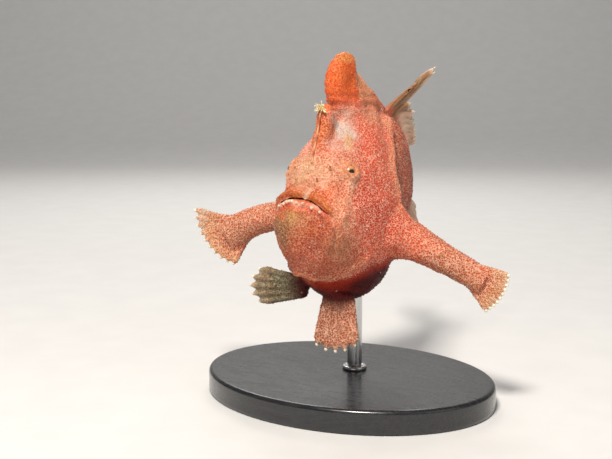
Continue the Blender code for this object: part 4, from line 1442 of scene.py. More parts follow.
    def raise_spine(self, out: Array, points: Array) -> None:
        """Add the wrinkles, the hollow and the crease of the third spine.

        Args:
            out: the relief, added to in place.
            points: points of the softened mesh.
        """
        (_, y, z), half = points.T, mirrored(points)
        spine = step(z, 22.5, 25.5) * step(y, 44.0, 36.0)
        wrinkles = np.sin(2.4 * z + 1.5 * lattice_noise(points, 4.0, 3))
        out += 0.14 * wrinkles * step(z, 33.5, 28.5) * spine
        out -= 0.8 * near(half, (4.2, 20.5, 33.0), (2.2, 3.4, 4.6))
        out -= 0.5 * bell(y, 1.0, 26.0) * step(z, 27.5, 30.0) * step(z, 40.0, 37.5)

    def warty(self, points: Array) -> Array:
        """Where the skin is rougher: snout, chin and the rims of the chest and of the ridges.

        Args:
            points: the points.

        Returns:
            ndarray: a value from 0 to 1 for each.
        """
        half = mirrored(points)
        rough = near(half, (0.0, 2.0, 5.0), (8.0, 6.0, 6.0)) + near(half, (0.0, 0.0, -14.0), (9.0, 7.0, 9.0))
        return clamp(rough + near(half, (9.0, 14.0, 12.0), (6.0, 10.0, 7.0)))

    def paint(self, points: Array) -> tuple[Array, Array]:
        """A linear colour for each point of the skin, and how strong its dots are."""
        return SkinPaint(self.face, points, self.far_out(points)).finished()

    def far_out(self, points: Array) -> Array:
        """How far each point lies out along each fan, from 0 at the root to 1 at the tips.

        Args:
            points: the points.

        Returns:
            ndarray: a row for each point and a column for each fan.
        """
        out = np.zeros((len(points), len(self.fans)))
        for number, fan in enumerate(self.fans):
            along, within = fan.place(points)
            reach = np.linalg.norm(points - np.array(fan.root[0]), axis=1) / max(fan.lengths)
            out[:, number] = reach * step(along, 0.0, 3.0) * (reach < 1.3) * within
        return out

    def build(self, finishes: list[Material]) -> Object:
        """Fuse, soften, carve and paint the skin, and open the mouth and the eye sockets.

        Args:
            finishes: the skin's material, then the dark finish of the mouth's walls, painted shade of its
                gap.

        Returns:
            Object: the skin, which stands for every node of flesh.
        """
        surface = self.softened(self.fused())
        self.face.settle(surface.points)
        mesh = to_mesh("skin", surface)
        normals = read_normals(mesh)
        points = surface.points + normals * self.relief(surface.points)[:, None]
        mesh.vertices.foreach_set("co", to_world(points).ravel())
        mesh.update()
        piece = bpy.data.objects.new("carved", mesh)
        bpy.context.scene.collection.objects.link(piece)
        self.open_up(piece)
        mesh = evaluated(piece)
        mesh.shade_smooth()
        points = read_points(mesh)
        set_tint(mesh, *self.paint(points))
        line_mouth(mesh, points, self.face)
        nodes = ["head", "lower_jaw", "trunk", "tail", "third_dorsal_spine", "second_dorsal_spine"]
        nodes += ["left_arm", "right_arm", "left_hand", "right_hand", "left_pelvic_fin", "right_pelvic_fin"]
        return add_piece("skin", mesh, finishes, Slot.SKIN, *nodes)

    def open_up(self, piece: Object) -> None:
        """Cut the slit of the mouth and the two eye sockets out of the skin.

        Args:
            piece: the carved skin, given a modifier that cuts.
        """
        cutters = bpy.data.collections.new("openings")
        bpy.context.scene.collection.children.link(cutters)
        cuts = [self.face.slit()]
        for side in self.eyes:
            cuts.append(globe(np.array(self.face.eye) * (side, 1, 1), self.face.eye_radius + 0.08, 32, 20))
        for number, cut in enumerate(cuts):
            cutter = bpy.data.objects.new(f"opening_{number}", to_mesh("opening", cut))
            cutter.hide_render = True
            cutter.display_type = "WIRE"
            cutters.objects.link(cutter)
        change = piece.modifiers.new("Openings", "BOOLEAN")
        change.operation = "DIFFERENCE"
        change.operand_type = "COLLECTION"
        change.collection = cutters
        change.solver = "EXACT"


def globe(middle: Array, radius: float, around: int, rings: int) -> Surface:
    """A ball as a loft of rings along the z axis: radius times the sine of the angle from the pole.

    Args:
        middle: its middle.
        radius: its radius.
        around: points on each ring.
        rings: rings between the poles.

    Returns:
        Surface: closed.
    """
    angle = np.linspace(0, math.pi, rings + 2)[1:-1]
    turn = once_round(around)
    ring = np.stack([np.cos(turn), np.sin(turn), 0 * turn], axis=-1)
    level = np.stack([0 * angle, 0 * angle, np.cos(angle)], axis=-1)
    sections = middle + radius * (ring[None] * np.sin(angle)[:, None, None] + level[:, None])
    ball = loft(sections)
    ball.points[-2:] = middle + radius * np.array(((0, 0, 1.0), (0, 0, -1.0)))
    return ball


def read_points(mesh: Mesh) -> Array:
    """Points of a mesh, in millimetres of the fish's frame.

    Args:
        mesh: the mesh, in metres.

    Returns:
        ndarray: a row for each point.
    """
    points = np.empty(len(mesh.vertices) * 3)
    mesh.vertices.foreach_get("co", points)
    return points.reshape(-1, 3) / MM - SHIFT


def read_normals(mesh: Mesh) -> Array:
    """The way that each point of a mesh faces.

    Args:
        mesh: the mesh.

    Returns:
        ndarray: a row for each point.
    """
    normals = np.empty(len(mesh.vertices) * 3)
    mesh.vertex_normals.foreach_get("vector", normals)
    return normals.reshape(-1, 3)


def evaluated(piece: Object) -> Mesh:
    """The piece's mesh with its modifiers, after which the piece and its cutters are removed.

    Args:
        piece: the piece, linked to the scene.

    Returns:
        Mesh: a mesh of its own.
    """
    bpy.context.view_layer.update()
    graph = bpy.context.evaluated_depsgraph_get()
    mesh = bpy.data.meshes.new_from_object(piece.evaluated_get(graph))
    for change in piece.modifiers:
        cutters = getattr(change, "collection", None)
        if cutters:
            for cutter in list(cutters.objects):
                bpy.data.objects.remove(cutter)
            bpy.data.collections.remove(cutters)
    bpy.data.objects.remove(piece)
    return mesh


def line_mouth(mesh: Mesh, points: Array, face: Face) -> None:
    """Paint the inner walls of the mouth dark, as painted shade of the gap between the lips, and give a sharp
    edge along the lips.

    Args:
        mesh: the skin's mesh.
        points: its points.
        face: sizes of the face.
    """
    corners = np.empty(len(mesh.loops), np.int64)
    mesh.loops.foreach_get("vertex_index", corners)
    sizes = np.empty(len(mesh.polygons), np.int64)
    mesh.polygons.foreach_get("loop_total", sizes)
    owner = np.repeat(np.arange(len(sizes)), sizes)
    total = np.stack([np.bincount(owner, points[corners, axis]) for axis in range(3)], axis=1)
    middle = total / sizes[:, None]
    normals = np.empty(len(sizes) * 3)
    mesh.polygons.foreach_get("normal", normals)
    normals = normals.reshape(-1, 3)
    upright = np.abs(normals[:, 1]) < 0.35
    inside = np.abs(middle[:, 2] - face.line(middle[:, 0])) < face.mouth_open / 2 + 0.12
    inside &= (np.abs(middle[:, 0]) < face.mouth_half + 0.3) & (middle[:, 1] < face.jaw_back + 0.1)
    level = np.abs(normals[:, 2]) > 0.5
    inside &= (upright & level) | (middle[:, 1] > 3.5)
    # the faces inside the slit take the dark finish, painted shade of the mouth's gap
    mesh.polygons.foreach_set("material_index", inside.astype(np.int32))
    edges = np.empty(len(mesh.loops), np.int64)
    mesh.loops.foreach_get("edge_index", edges)
    either = np.bincount(edges, inside[owner].astype(float), len(mesh.edges))
    layer = mesh.attributes.get("sharp_edge") or mesh.attributes.new("sharp_edge", "BOOLEAN", "EDGE")
    layer.data.foreach_set("value", either == 1)


@dataclass
class SkinGrowths:
    """What grows on the skin: spinules, warts, papillae of the lips and the ends of the rays."""

    flesh: Flesh
    spacing: float = 0.66
    wart_spacing: float = 2.1
    seed: int = 7
    # pale pegs: partly the skin's pale granules, partly painted glints
    pale: Colour = (0.98, 0.74, 0.58)
    ray_tip: Colour = (0.92, 0.86, 0.66)

    def spinules(self, skin: Mesh, finish: Material) -> Object:
        """Tiny pointed pegs over the skin, one for each cell of a fine lattice, leaning backwards; about a
        third of them, more on the snout, are pale, partly the skin's pale granules and partly painted glints.

        Args:
            skin: the skin's mesh.
            finish: their material.

        Returns:
            Object: all of them as one joined mesh.
        """
        points, normals = read_points(skin), read_normals(skin)
        tint, marks = self.flesh.paint(points)
        random = np.random.default_rng(self.seed)
        keep = thinned(points, self.spacing, random)
        face = self.flesh.face
        off = points[keep, 2] - face.line(points[keep, 0])
        mouth = (np.abs(off) < 1.0) & (points[keep, 1] < 8) & (np.abs(points[keep, 0]) < 9.4)
        eye = np.linalg.norm(mirrored(points[keep]) - np.array(face.eye), axis=1) < 2.5
        keep = keep[~mouth & ~eye & (random.random(len(keep)) < 0.5 + 0.5 * marks[keep])]
        ways = unit(normals[keep] + np.array((0, 0.35, -0.1)) + 0.15 * random.normal(size=(len(keep), 3)))
        size = 0.75 + 0.5 * random.random(len(keep))
        sizes = np.stack([0.22 * size, 0.32 * size, np.full(len(keep), 0.5)], axis=1)
        surface = capsules(points[keep] - normals[keep] * 0.05, ways, sizes, 4, 1)
        snout = near(mirrored(points[keep]), (2.0, 5.0, 8.0), (8.0, 9.0, 8.0))
        # about a third of the pegs, more on the snout, turn pale: partly pale granules, partly painted glints
        pale_and_glinting = random.random(len(keep)) < 0.34 + 0.30 * snout
        pale = pale_and_glinting * (0.5 + 0.35 * random.random(len(keep))) * np.maximum(marks[keep] ** 1.3, snout)
        pale *= step(points[keep, 2], 27.0, 23.0)
        under = tint[keep] * (0.92, 0.75, 0.6)
        colour = mixed(under, self.pale, np.minimum(pale, 1)[:, None])
        mesh = to_mesh("spinules", surface)
        set_tint(mesh, np.repeat(colour, len(surface.points) // len(keep), axis=0))
        return add_piece("spinules", mesh, [finish], Slot.SKIN)

    def warts(self, skin: Mesh, finish: Material) -> Object:
        """Low pale domes on the rougher skin, and papillae along the lower lip.

        Args:
            skin: the skin's mesh.
            finish: their material.

        Returns:
            Object: all of them as one joined mesh.
        """
        points, normals = read_points(skin), read_normals(skin)
        random = np.random.default_rng(self.seed + 1)
        keep = thinned(points, self.wart_spacing, random)
        likely = 0.03 + 0.34 * self.flesh.warty(points[keep])
        face = self.flesh.face
        eye = np.linalg.norm(mirrored(points[keep]) - np.array(face.eye), axis=1)
        keep = keep[(random.random(len(keep)) < likely) & (eye > 2.9) & (points[keep, 2] < 30)]
        size = 0.6 + 0.7 * random.random(len(keep))
        sizes = np.stack([0.34 * size, 0.30 * size, np.full(len(keep), 0.1)], axis=1)
        x = np.array((-7.0, -5.7, -4.3, -3.4, -2.0, -0.6, 1.6, 3.9, 6.4))
        lip = np.stack([x, np.full(len(x), -3.0), face.line(x) - 0.7 - 0.5 * random.random(len(x))], axis=1)
        feet = np.array([np.argmin(((points - spot) ** 2).sum(axis=1)) for spot in lip])
        big = np.tile((0.50, 0.72, 0.1), (len(x), 1)) * (0.65 + 0.5 * random.random((len(x), 1)))
        feet, sizes = np.concatenate([keep, feet]), np.vstack([sizes, big])
        surface = capsules(points[feet] - normals[feet] * 0.12, normals[feet], sizes, 9, 5)
        tint = self.flesh.paint(points[feet])[0]
        low = 0.1 + 0.4 * random.random(len(feet) - len(x))
        pale = np.concatenate([low, 0.6 + 0.35 * random.random(len(x))])
        colour = mixed(tint, PALETTE.white, pale[:, None])
        mesh = to_mesh("warts", surface)
        set_tint(mesh, np.repeat(colour, len(surface.points) // len(feet), axis=0))
        return add_piece("warts", mesh, [finish], Slot.SKIN)

    def ray_ends(self, forms: list[FinForm], finish: Material) -> Object:
        """The pale bare ends of the rays of the hands and the pelvic fins.

        Args:
            forms: surfaces of the fans.
            finish: their material.

        Returns:
            Object: all of them as one joined mesh.
        """
        ends = [end for form in forms for end in form.ray_ends(0.86, 1.02, 10, 0.46)]
        surface = joined(ends)
        mesh = to_mesh("ray ends", surface)
        each = np.linspace(0, 1, 7).repeat(10)
        level = np.tile(np.concatenate([each, [0, 1]]), len(ends))
        set_tint(mesh, mixed(PALETTE.cream, self.ray_tip, step(level, 0.2, 0.8)[:, None]))
        return add_piece("ray_ends", mesh, [finish], Slot.FIN)


@dataclass
class Membranes:
    """The thin fins of the back and tail, each a rippled membrane with its rays raised in it."""

    fins: list[Midline]
    rows: int = 34
    tip_colour: Colour = (0.90, 0.82, 0.62)

    def build(self, finish: Material) -> list[Object]:
        """Build every fin.

        Args:
            finish: the material of the membrane.

        Returns:
            list: one piece for each fin.
        """
        return [self.one(fin, finish) for fin in self.fins]

    def one(self, fin: Midline, finish: Material) -> Object:
        """One fin: its membrane and the bare ends of its rays, tinted from root to tip.

        Args:
            fin: the fin.
            finish: the material of the membrane.

        Returns:
            Object: the fin, which stands for its node.
        """
        form, rows = fin.form(), self.rows
        across = fin.rays * fin.columns + 1
        blade = form.solid(rows, (0.55, 0.16), (0.5, 0.24), np.full(across, fin.root_half))
        ends = form.ray_ends(0.86, 1.03, 8, 0.24)
        out = np.tile(np.linspace(0, 1, rows), across * 2)
        ray = np.tile(form.on_ray.repeat(rows), 2)
        points = blade.points
        patchy = lattice_noise(points, 2.2, 31)
        tint = np.tile(np.array(PALETTE.tan), (len(out), 1))
        place = np.tile(np.linspace(0, fin.rays, across).repeat(rows), 2)
        spike = step(place, fin.spike + 0.6, fin.spike - 0.2) if fin.spike else 0 * place
        for colour, amount in (
            (PALETTE.pink, 0.7 * step(out, 0.3, 0.0)),
            (PALETTE.membrane, 0.92 * step(out, 0.1, 0.5)),
            (PALETTE.olive, 0.4 * clamp(patchy + 0.1) * (1 - ray) * step(out, 0.15, 0.4)),
            (PALETTE.spike, 0.9 * spike * step(out, 0.1, 0.3)),
            (PALETTE.cream, 0.35 * ray * (1 - spike)),
            (PALETTE.white, 0.6 * step(out, 0.88, 0.98)),
        ):
            blend(tint, colour, amount)
        tips = sum(len(end.points) for end in ends)
        whole = joined([blade, *ends])
        mesh = to_mesh(fin.name, whole)
        tint = np.vstack([tint, np.tile(self.tip_colour, (tips, 1))])
        set_tint(mesh, tint, np.concatenate([0.6 * (1 - out), np.zeros(tips)]))
        solid = mesh.attributes.new("solid", "FLOAT", "POINT")
        clear = 1 - 0.38 * (1 - ray) * step(out, 0.35, 0.9)
        solid.data.foreach_set("value", np.concatenate([clear, np.ones(tips)]).astype(np.float32))
        return add_piece(fin.name, mesh, [finish], Slot.FIN, fin.stands_for)


@dataclass
class Eyeball:
    """An eye: a small dark pupil with a gold rim in a pale iris with radial streaks."""

    name: str
    side: int
    face: Face
    stands_for: str
    look: Point = (0.80, -0.55, 0.14)
    pupil: float = 0.36
    around: int = 96
    rings: int = 56

    def build(self, finish: Material) -> Object:
        """Build the eye as rings round the line of sight, tinted by their angle from it.

        Args:
            finish: its material.

        Returns:
            Object: the eye, which stands for its node.
        """
        sight = unit(np.array(self.look) * (self.side, 1, 1))
        side = unit(np.cross(sight, np.array((0, 0, 1.0))))
        rise = np.cross(side, sight)
        angle = np.linspace(0.02, math.pi - 0.02, self.rings)
        turn = once_round(self.around)
        ring = side * np.cos(turn)[:, None] + rise * np.sin(turn)[:, None]
        dome = 1 + 0.06 * np.exp(-((angle / 0.62) ** 2))
        ways = sight * np.cos(angle)[:, None, None] + ring[None] * np.sin(angle)[:, None, None]
        middle = np.array(self.face.eye) * (self.side, 1, 1)
        surface = loft(middle + ways * (self.face.eye_radius * dome)[:, None, None])
        polar = np.concatenate([np.repeat(angle, self.around), [0, math.pi]])
        spin = np.concatenate([np.tile(turn, self.rings), [0, 0]])
        mesh = to_mesh(self.name, surface)
        set_tint(mesh, self.colours(polar, spin))
        return add_piece(self.name, mesh, [finish], Slot.EYE, self.stands_for)

    def colours(self, polar: Array, spin: Array) -> Array:
        """Colour of the eye by the angle from the line of sight and the turn round it.

        Args:
            polar: angle from the line of sight.
            spin: turn round it.

        Returns:
            ndarray: a linear colour for each point.
        """
        edge = self.pupil * (1 + 0.12 * np.cos(2 * spin) + 0.06 * np.cos(5 * spin + 1.0))
        streak = 0.5 + 0.5 * np.cos(11 * spin + 1.3 * np.sin(3 * spin))
        tint = np.tile(np.array(PALETTE.cream), (len(polar), 1))
        for colour, amount in (
            (PALETTE.coral, 0.6 * streak**2 * step(polar, 0.45, 0.75)),
            (PALETTE.peach, 0.5 * step(polar, 0.9, 0.5)),
            (PALETTE.iris, 0.95 * step(polar, edge + 0.34, edge + 0.08) * (0.6 + 0.4 * streak)),
            (PALETTE.pupil, step(polar, edge + 0.04, edge - 0.02)),
            (PALETTE.eye_back, step(polar, 1.25, 1.6)),
        ):
            blend(tint, colour, amount)
        return tint


@dataclass
class Snout:
    """The nostrils: short flared tubes, each with its hole painted dark at the bottom as painted shade, one
    pair by the lip and one by the eye.
    """

    face: Face
    radius: float = 0.44
    length: float = 0.9
    around: int = 20
    profile: tuple[tuple[float, float], ...] = (
        (-1.3, 1.25), (-0.3, 1.1), (0.5, 0.85), (0.95, 0.95), (1.05, 0.8), (0.95, 0.6), (0.5, 0.45),
        (0.0, 0.4), (-0.3, 0.05),
    )
    hole: int = 5

    def build(self, finish: Material) -> Object:
        """Build the four tubes as one mesh: a profile that goes up outside and down inside.

        Args:
            finish: their material.

        Returns:
            Object: the nostrils.
        """
        profile = np.array(self.profile)
        angle = once_round(self.around)
        surfaces, colours = [], []
        for x, y, z in self.face.nostrils:
            for side in (1, -1):
                way = unit(np.array((side * 0.55, -0.75, 0.45)))
                across = unit(np.cross(way, np.array((0, 0, 1.0))))
                rise = np.cross(across, way)
                ring = across * np.cos(angle)[:, None] + rise * np.sin(angle)[:, None]
                foot = np.array((side * (x - 0.1), y + 0.7, z - 0.15))
                wide = (profile[:, 1] * self.radius)[:, None, None]
                rows = foot + way * (profile[:, 0] * self.length)[:, None, None] + ring[None] * wide
                surfaces.append(loft(rows))
                inner = np.repeat(np.arange(len(profile)) >= self.hole, self.around)
                rim = mixed(PALETTE.cream, PALETTE.nostril, inner[:, None])
                # painted shade: the point at the bottom of each hole is dark
                colours.append(np.vstack([rim, [PALETTE.cream], [PALETTE.nostril_painted_shade]]))
        mesh = to_mesh("nostrils", joined(surfaces))
        set_tint(mesh, np.vstack(colours))
        return add_piece("nostrils", mesh, [finish], Slot.SKIN)


@dataclass
class Lure:
    """The lure: a thin banded stalk along the second spine, with a tuft of pale threads."""

    stalk: tuple[Point, ...] = (
        (0.0, 4.6, 9.4), (0.0, 5.9, 13.2), (0.0, 7.6, 17.6), (0.0, 9.0, 22.6), (0.0, 9.8, 24.8),
    )
    steps: int = 40
    around: int = 12
    radius: float = 0.30
    threads: int = 30

    def build(self, finish: Material) -> Object:
        """Build the stalk and its tuft as one mesh.

        Args:
            finish: their material.

        Returns:
            Object: the lure, which stands for its node.
        """
        along = np.linspace(0, 1, self.steps)
        surfaces = [tube(line_at(self.stalk, along), self.radius * (1 - 0.25 * along), self.around)]
        band = 0.5 + 0.5 * np.sin(np.linspace(0, 26, self.steps))
        rows = mixed(PALETTE.tan, PALETTE.cream, band[:, None])
        colours = [np.vstack([np.repeat(rows, self.around, axis=0), rows[:1], rows[-1:]])]
        tip = np.array(self.stalk[-1])
        surfaces.append(globe(tip, 0.7, 20, 12))
        colours.append(np.tile(PALETTE.tuft, (20 * 12 + 2, 1)))
        random = np.random.default_rng(5)
        for number in range(self.threads):
            turn, rise = number * 2.4, 1 - 1.7 * (number + 0.5) / self.threads
            flat = math.sqrt(1 - rise * rise)
            way = np.array((math.cos(turn) * flat, -abs(math.sin(turn)) * flat, rise))
            length = 0.9 + 0.9 * random.random()
            out = np.linspace(0, 1, 7)[:, None]
            curve = tip + way * (0.4 + length * out) + 0.35 * random.normal(size=3) * out**2
            surfaces.append(tube(curve, np.array((0.20, 0.17, 0.15, 0.13, 0.13, 0.17, 0.06)), 6))
            pale = mixed(PALETTE.thread, PALETTE.thread_tip, out)
            colours.append(np.vstack([np.repeat(pale, 6, axis=0), pale[:1], pale[-1:]]))
        mesh = to_mesh("lure", joined(surfaces))
        set_tint(mesh, np.vstack(colours))
        return add_piece("lure", mesh, [finish], Slot.SPINE, "illicium")


@dataclass
class Stand:
    """The display stand: an oval lacquered base, a steel rod and the collar at its foot."""

    size: Point = (92.0, 72.0, 7.0)
    round_edge: float = 1.2
    rod_radius: float = 2.25
    rod_at: tuple[float, float] = (0.0, 30.0)
    rod_top: float = -22.0

    def turned(
        self, profile: Array, middle: tuple[float, float], wide: float, deep: float, around: int
    ) -> Surface:
        """A profile carried round an oval: its radius is added to the oval's half sides.

        Args:
            profile: rows of radius and height.
            middle: where the oval stands.
            wide: its half width.
            deep: its half depth.
            around: points round it.

        Returns:
            Surface: closed at both ends.
        """
        angle = once_round(around)
        x = middle[0] + np.outer(profile[:, 0] + wide, np.cos(angle))
        y = middle[1] + np.outer(profile[:, 0] + deep, np.sin(angle))
        z = np.repeat(profile[:, 1:2], around, axis=1) - SHIFT[2]
        return loft(np.stack([x, y, z], axis=-1))

    def build(self, lacquer: Material, steel: Material) -> list[Object]:
        """Build the base, the rod and the collar.

        Args:
            lacquer: finish of the base.
            steel: finish of the rod and its collar.

        Returns:
            list: the three pieces.
        """
        wide, deep, high = self.size
        turn = np.linspace(0, math.pi / 2, 9)
        bend = self.round_edge
        edge = np.stack([bend * (np.cos(turn) - 1), high + bend * (np.sin(turn) - 1)], axis=1)
        foot = np.array(((-1.0, 0.0), (-0.4, 0.0), (0.0, 0.4), (0.0, 1.5), (0.0, 3.5)))
        top = np.array(((-1.8, high), (-3.0, high), (-12.0, high), (-24.0, high)))
        base = self.turned(np.vstack([foot, edge, top]), (0.0, -SHIFT[1]), wide / 2, deep / 2, 160)
        height = self.rod_top + SHIFT[2]
        shaft = ((-0.3, high - 0.4), (0.0, high + 0.1), (0.0, high + 3.0), (0.0, height - 1.0), (0.0, height))
        rod = self.turned(np.array(shaft), self.rod_at, self.rod_radius, self.rod_radius, 48)
        outline = ((0.1, -0.3), (1.5, -0.3), (1.5, 0.9), (1.35, 1.15), (1.1, 1.25), (0.35, 1.25), (0.1, 1.1))
        ring = np.array([(radius, high + level) for radius, level in outline])
        collar = self.turned(ring, self.rod_at, self.rod_radius, self.rod_radius, 48)
        return [
            add_piece("stand_foot", to_mesh("stand_foot", base), [lacquer], Slot.BASE, "stand_base"),
            add_piece("stand_shaft", to_mesh("stand_shaft", rod), [steel], Slot.ROD, "stand_rod"),
            add_piece("stand_collar", to_mesh("stand_collar", collar), [steel], Slot.ROD),
        ]


@dataclass
class Studio:
    """The plain room: a pale sweep, soft lights and the camera at the photograph's angle."""

    azimuth: float = 32.0
    elevation: float = 8.0
    distance: float = 0.306
    target: Point = (-0.0102, -0.0081, 0.0513)
    lens: float = 60.0
    lights: tuple[tuple[str, Point, float, float, Colour], ...] = (
        ("key", (14.0, 55.0, 0.75), 6.4, 0.15, (1.0, 0.955, 0.89)),
        ("fill", (85.0, 25.0, 0.9), 0.7, 0.6, (0.96, 0.98, 1.0)),
        ("front", (20.0, 14.0, 0.9), 0.4, 0.5, (1.0, 0.98, 0.95)),
        ("rim", (215.0, 40.0, 0.8), 2.2, 0.4, (1.0, 0.98, 0.96)),
    )

    def away(self, azimuth: float, elevation: float, distance: float) -> Vector:
        """A place at an angle round the target.

        Args:
            azimuth: degrees from the front towards its left.
            elevation: degrees above the ground.
            distance: metres from the target.

        Returns:
            Vector: the place, in metres.
        """
        a, e = math.radians(azimuth), math.radians(elevation)
        way = Vector((math.sin(a) * math.cos(e), -math.cos(a) * math.cos(e), math.sin(e)))
        return Vector(self.target) + distance * way

    def aim(self, obj: Object, place: Vector) -> None:
        """Put a camera or light at a place and turn it to the target.

        Args:
            obj: the object, linked here.
            place: where it goes, in metres.
        """
        facing = (Vector(self.target) - place).to_track_quat("-Z", "Y").to_matrix().to_4x4()
        obj.matrix_world = Matrix.Translation(place) @ facing
        bpy.context.scene.collection.objects.link(obj)

    def camera(self) -> None:
        """The camera, level, with no shift and no depth of field."""
        data = bpy.data.cameras.new("camera")
        data.lens, data.sensor_width = self.lens, 36.0
        data.clip_start, data.clip_end = 0.01, 20.0
        obj = bpy.data.objects.new("camera", data)
        self.aim(obj, self.away(self.azimuth, self.elevation, self.distance))
        bpy.context.scene.camera = obj

    def wall_light(self) -> None:
        """A light high behind the model, turned away from it to the sweep."""
        data = bpy.data.lights.new("wall", "AREA")
        data.energy, data.size = 4.0, 0.9
        obj = bpy.data.objects.new("wall", data)
        way = Vector((-0.46, 0.74, -0.5)).to_track_quat("-Z", "Y").to_matrix().to_4x4()
        obj.matrix_world = Matrix.Translation((-0.32, 0.51, 1.3)) @ way
        bpy.context.scene.collection.objects.link(obj)

    def light(self, name: str, place: Point, power: float, size: float, colour: Colour) -> None:
        """A soft square light that faces the target, placed by azimuth, elevation and distance.

        Args:
            name: its name.
            place: azimuth and elevation in degrees, and distance in metres.
            power: watts.
            size: its side, in metres.
            colour: its colour.
        """
        data = bpy.data.lights.new(name, "AREA")
        data.energy, data.size, data.color = power, size, colour
        self.aim(bpy.data.objects.new(name, data), self.away(*place))

    def sweep(self) -> None:
        """The floor that curves up behind: a profile carried sideways, a quarter circle between flats."""
        turn = np.linspace(-math.pi / 2, 0, 24)
        depth = np.concatenate([np.linspace(-2500, 900, 20), 900 + 700 * np.cos(turn), np.full(3, 1600.0)])
        height = np.concatenate([np.zeros(20), 700 + 700 * np.sin(turn), np.array((900.0, 1800.0, 2600.0))])
        x, y = np.meshgrid(np.linspace(-2600, 2600, 9), np.arange(len(depth)), indexing="ij")
        a = math.radians(self.azimuth)
        back = depth[y]
        east, north = x * math.cos(a) - back * math.sin(a), x * math.sin(a) + back * math.cos(a)
        points = np.stack([east, north, height[y]], axis=-1)
        grid = np.arange(x.size).reshape(x.shape)
        mesh = to_mesh("floor", Surface(points.reshape(-1, 3) - SHIFT, [grid_faces(grid)]))
        broad = (60.0, 60.0, 60.0)
        finish = PlainFinish("pale floor", (0.80, 0.785, 0.765), 0.9, grain=broad, contrast=0.02, bump=0.0)
        mesh.materials.append(finish.make())
        floor = bpy.data.objects.new("floor", mesh)
        bpy.context.scene.collection.objects.link(floor)

    def build(self) -> None:
        """Set the whole room up."""
        self.camera()
        self.sweep()
        for light in self.lights:
            self.light(*light)
        self.wall_light()
        world = bpy.context.scene.world or bpy.data.worlds.new("room")
        bpy.context.scene.world = world
        world.use_nodes = True
        background = world.node_tree.nodes["Background"]
        background.inputs["Color"].default_value = (0.90, 0.92, 0.95, 1.0)
        background.inputs["Strength"].default_value = 0.13
        bpy.context.scene.view_settings.view_transform = "Standard"


def fans() -> list[Fan]:
    """The hands and the pelvic fins, with the sizes that the part's own table gives.

    Returns:
        list: left hand, right hand, left and right pelvic fin.
    """
    left_root = ((4.4, 12.6, -28.6), (0.02, -0.15, -0.99), (0.85, 0.52, 0.0), (4.7, 2.4))
    right_root = ((-7.4, 14.2, -28.0), (-0.95, -0.30, -0.08), (0.0, -0.1, 1.0), (3.6, 2.2))
    return [
        Fan("left hand", 10, (17.0, -16.0), (10.4, 11.6, 10.0), 2.0, wrist(LEFT_ARM)),
        Fan("right hand", 10, (46.0, -28.0), (12.8, 12.6, 8.8), -2.0, wrist(RIGHT_ARM)),
        Fan("left pelvic fin", 5, (8.0, -8.0), (14.0, 17.0, 14.5), 1.2, left_root),
        Fan("right pelvic fin", 5, (12.0, -9.0), (13.4, 18.2, 14.6), 1.5, right_root),
    ]


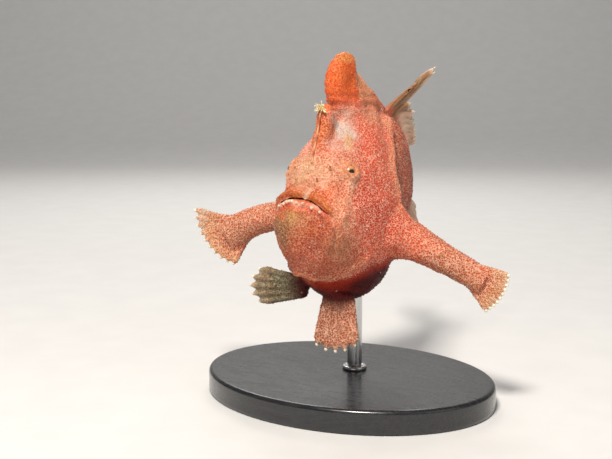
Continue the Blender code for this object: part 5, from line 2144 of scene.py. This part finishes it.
def midline_fins() -> list[Midline]:
    """The fins of the back and tail, with the sizes that the part's own tables give.

    Returns:
        list: soft dorsal, anal and caudal fin.
    """
    dorsal_roots = ((-0.8, 47.0, 21.5), (-1.2, 55.0, 17.5), (-2.8, 63.0, 12.4), (-6.0, 71.0, 7.0))
    dorsal_tips = (
        (9.3, 65.9, 35.9), (9.1, 64.4, 34.8), (4.2, 57.4, 25.2), (4.4, 60.0, 23.6), (3.2, 62.5, 21.2),
        (2.6, 64.5, 18.8), (1.8, 66.6, 16.8), (1.0, 69.0, 15.0), (-0.2, 71.2, 13.8), (-1.6, 73.6, 13.0),
        (-3.2, 76.0, 12.2), (-5.0, 78.4, 11.4),
    )
    anal_roots = ((-2.2, 58.5, -10.5), (-3.2, 64.0, -7.8), (-5.6, 70.0, -5.2))
    anal_tips = ((4.6, 62.0, -15.0), (3.0, 69.0, -16.4), (-0.6, 75.0, -14.4), (-4.0, 80.0, -11.0))
    tail_roots = ((-11.6, 79.5, 5.4), (-12.0, 80.2, 0.3), (-11.6, 79.5, -4.8))
    tail_tips = ((-23.5, 93.0, 12.6), (-27.5, 98.0, 1.0), (-23.5, 93.0, -11.4))
    return [
        Midline(
            "soft_dorsal_membrane", 12, dorsal_roots, dorsal_tips, (0.0, -0.6, 1.5), 0.8, 1.1, 0.45, 2.5,
            "soft_dorsal_fin", 3,
        ),
        Midline("anal_membrane", 7, anal_roots, anal_tips, (1.2, 0.0, 0.4), 0.4, 1.0, 0.3, 1.5, "anal_fin"),
        Midline(
            "caudal_membrane", 9, tail_roots, tail_tips, (-0.6, 0.4, 0.0), 0.6, 1.3, 0.35, 1.8, "caudal_fin"
        ),
    ]


def main() -> None:
    """Build every piece in order."""
    logging.basicConfig(level=logging.INFO, format="%(message)s")
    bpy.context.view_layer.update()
    grain = grain_group()
    skin_finish = SkinFinish("coral skin").make(grain)
    fin_finish = SkinFinish(
        "fin membrane", scale=1700.0, dark=0.7, pale=0.15, roughness=0.42, bump=0.25, weight=0.2, alpha=True
    ).make(grain)
    # painted shade: the dark finish of the walls inside the mouth
    lining_painted_shade = PlainFinish("mouth lining", PALETTE.lining_painted_shade, 0.5, contrast=0.4).make()
    growth = PlainFinish("spinules and warts", (1, 1, 1), 0.32, coat=0.25, contrast=0.12, tinted=True).make()
    tissue = PlainFinish("ray ends", (1, 1, 1), 0.4, coat=0.15, contrast=0.15, tinted=True).make()
    eye_finish = PlainFinish("eye", (1, 1, 1), 0.35, coat=0.2, contrast=0.18, bump=0.0, tinted=True).make()
    lacquer = PlainFinish(
        "black lacquer", (0.016, 0.016, 0.018), 0.28, coat=0.5, grain=(160.0, 900.0, 900.0), contrast=0.35,
        bump=0.03,
    ).make()
    steel = PlainFinish(
        "brushed steel", (0.62, 0.62, 0.61), 0.26, metallic=1.0, grain=(4000.0, 4000.0, 120.0),
        contrast=0.12, bump=0.06,
    ).make()
    face, limbs = Face(), fans()
    flesh = Flesh(face, limbs)
    skin = flesh.build([skin_finish, lining_painted_shade])
    growths = SkinGrowths(flesh)
    growths.ray_ends([fan.form() for fan in limbs], tissue)
    growths.spinules(skin.data, growth)
    growths.warts(skin.data, growth)
    Membranes(midline_fins()).build(fin_finish)
    Eyeball("left_eyeball", 1, face, "left_eye").build(eye_finish)
    Eyeball("right_eyeball", -1, face, "right_eye").build(eye_finish)
    Snout(face).build(growth)
    Lure().build(growth)
    Stand().build(lacquer, steel)
    Studio().build()


if __name__ == "__main__":
    main()
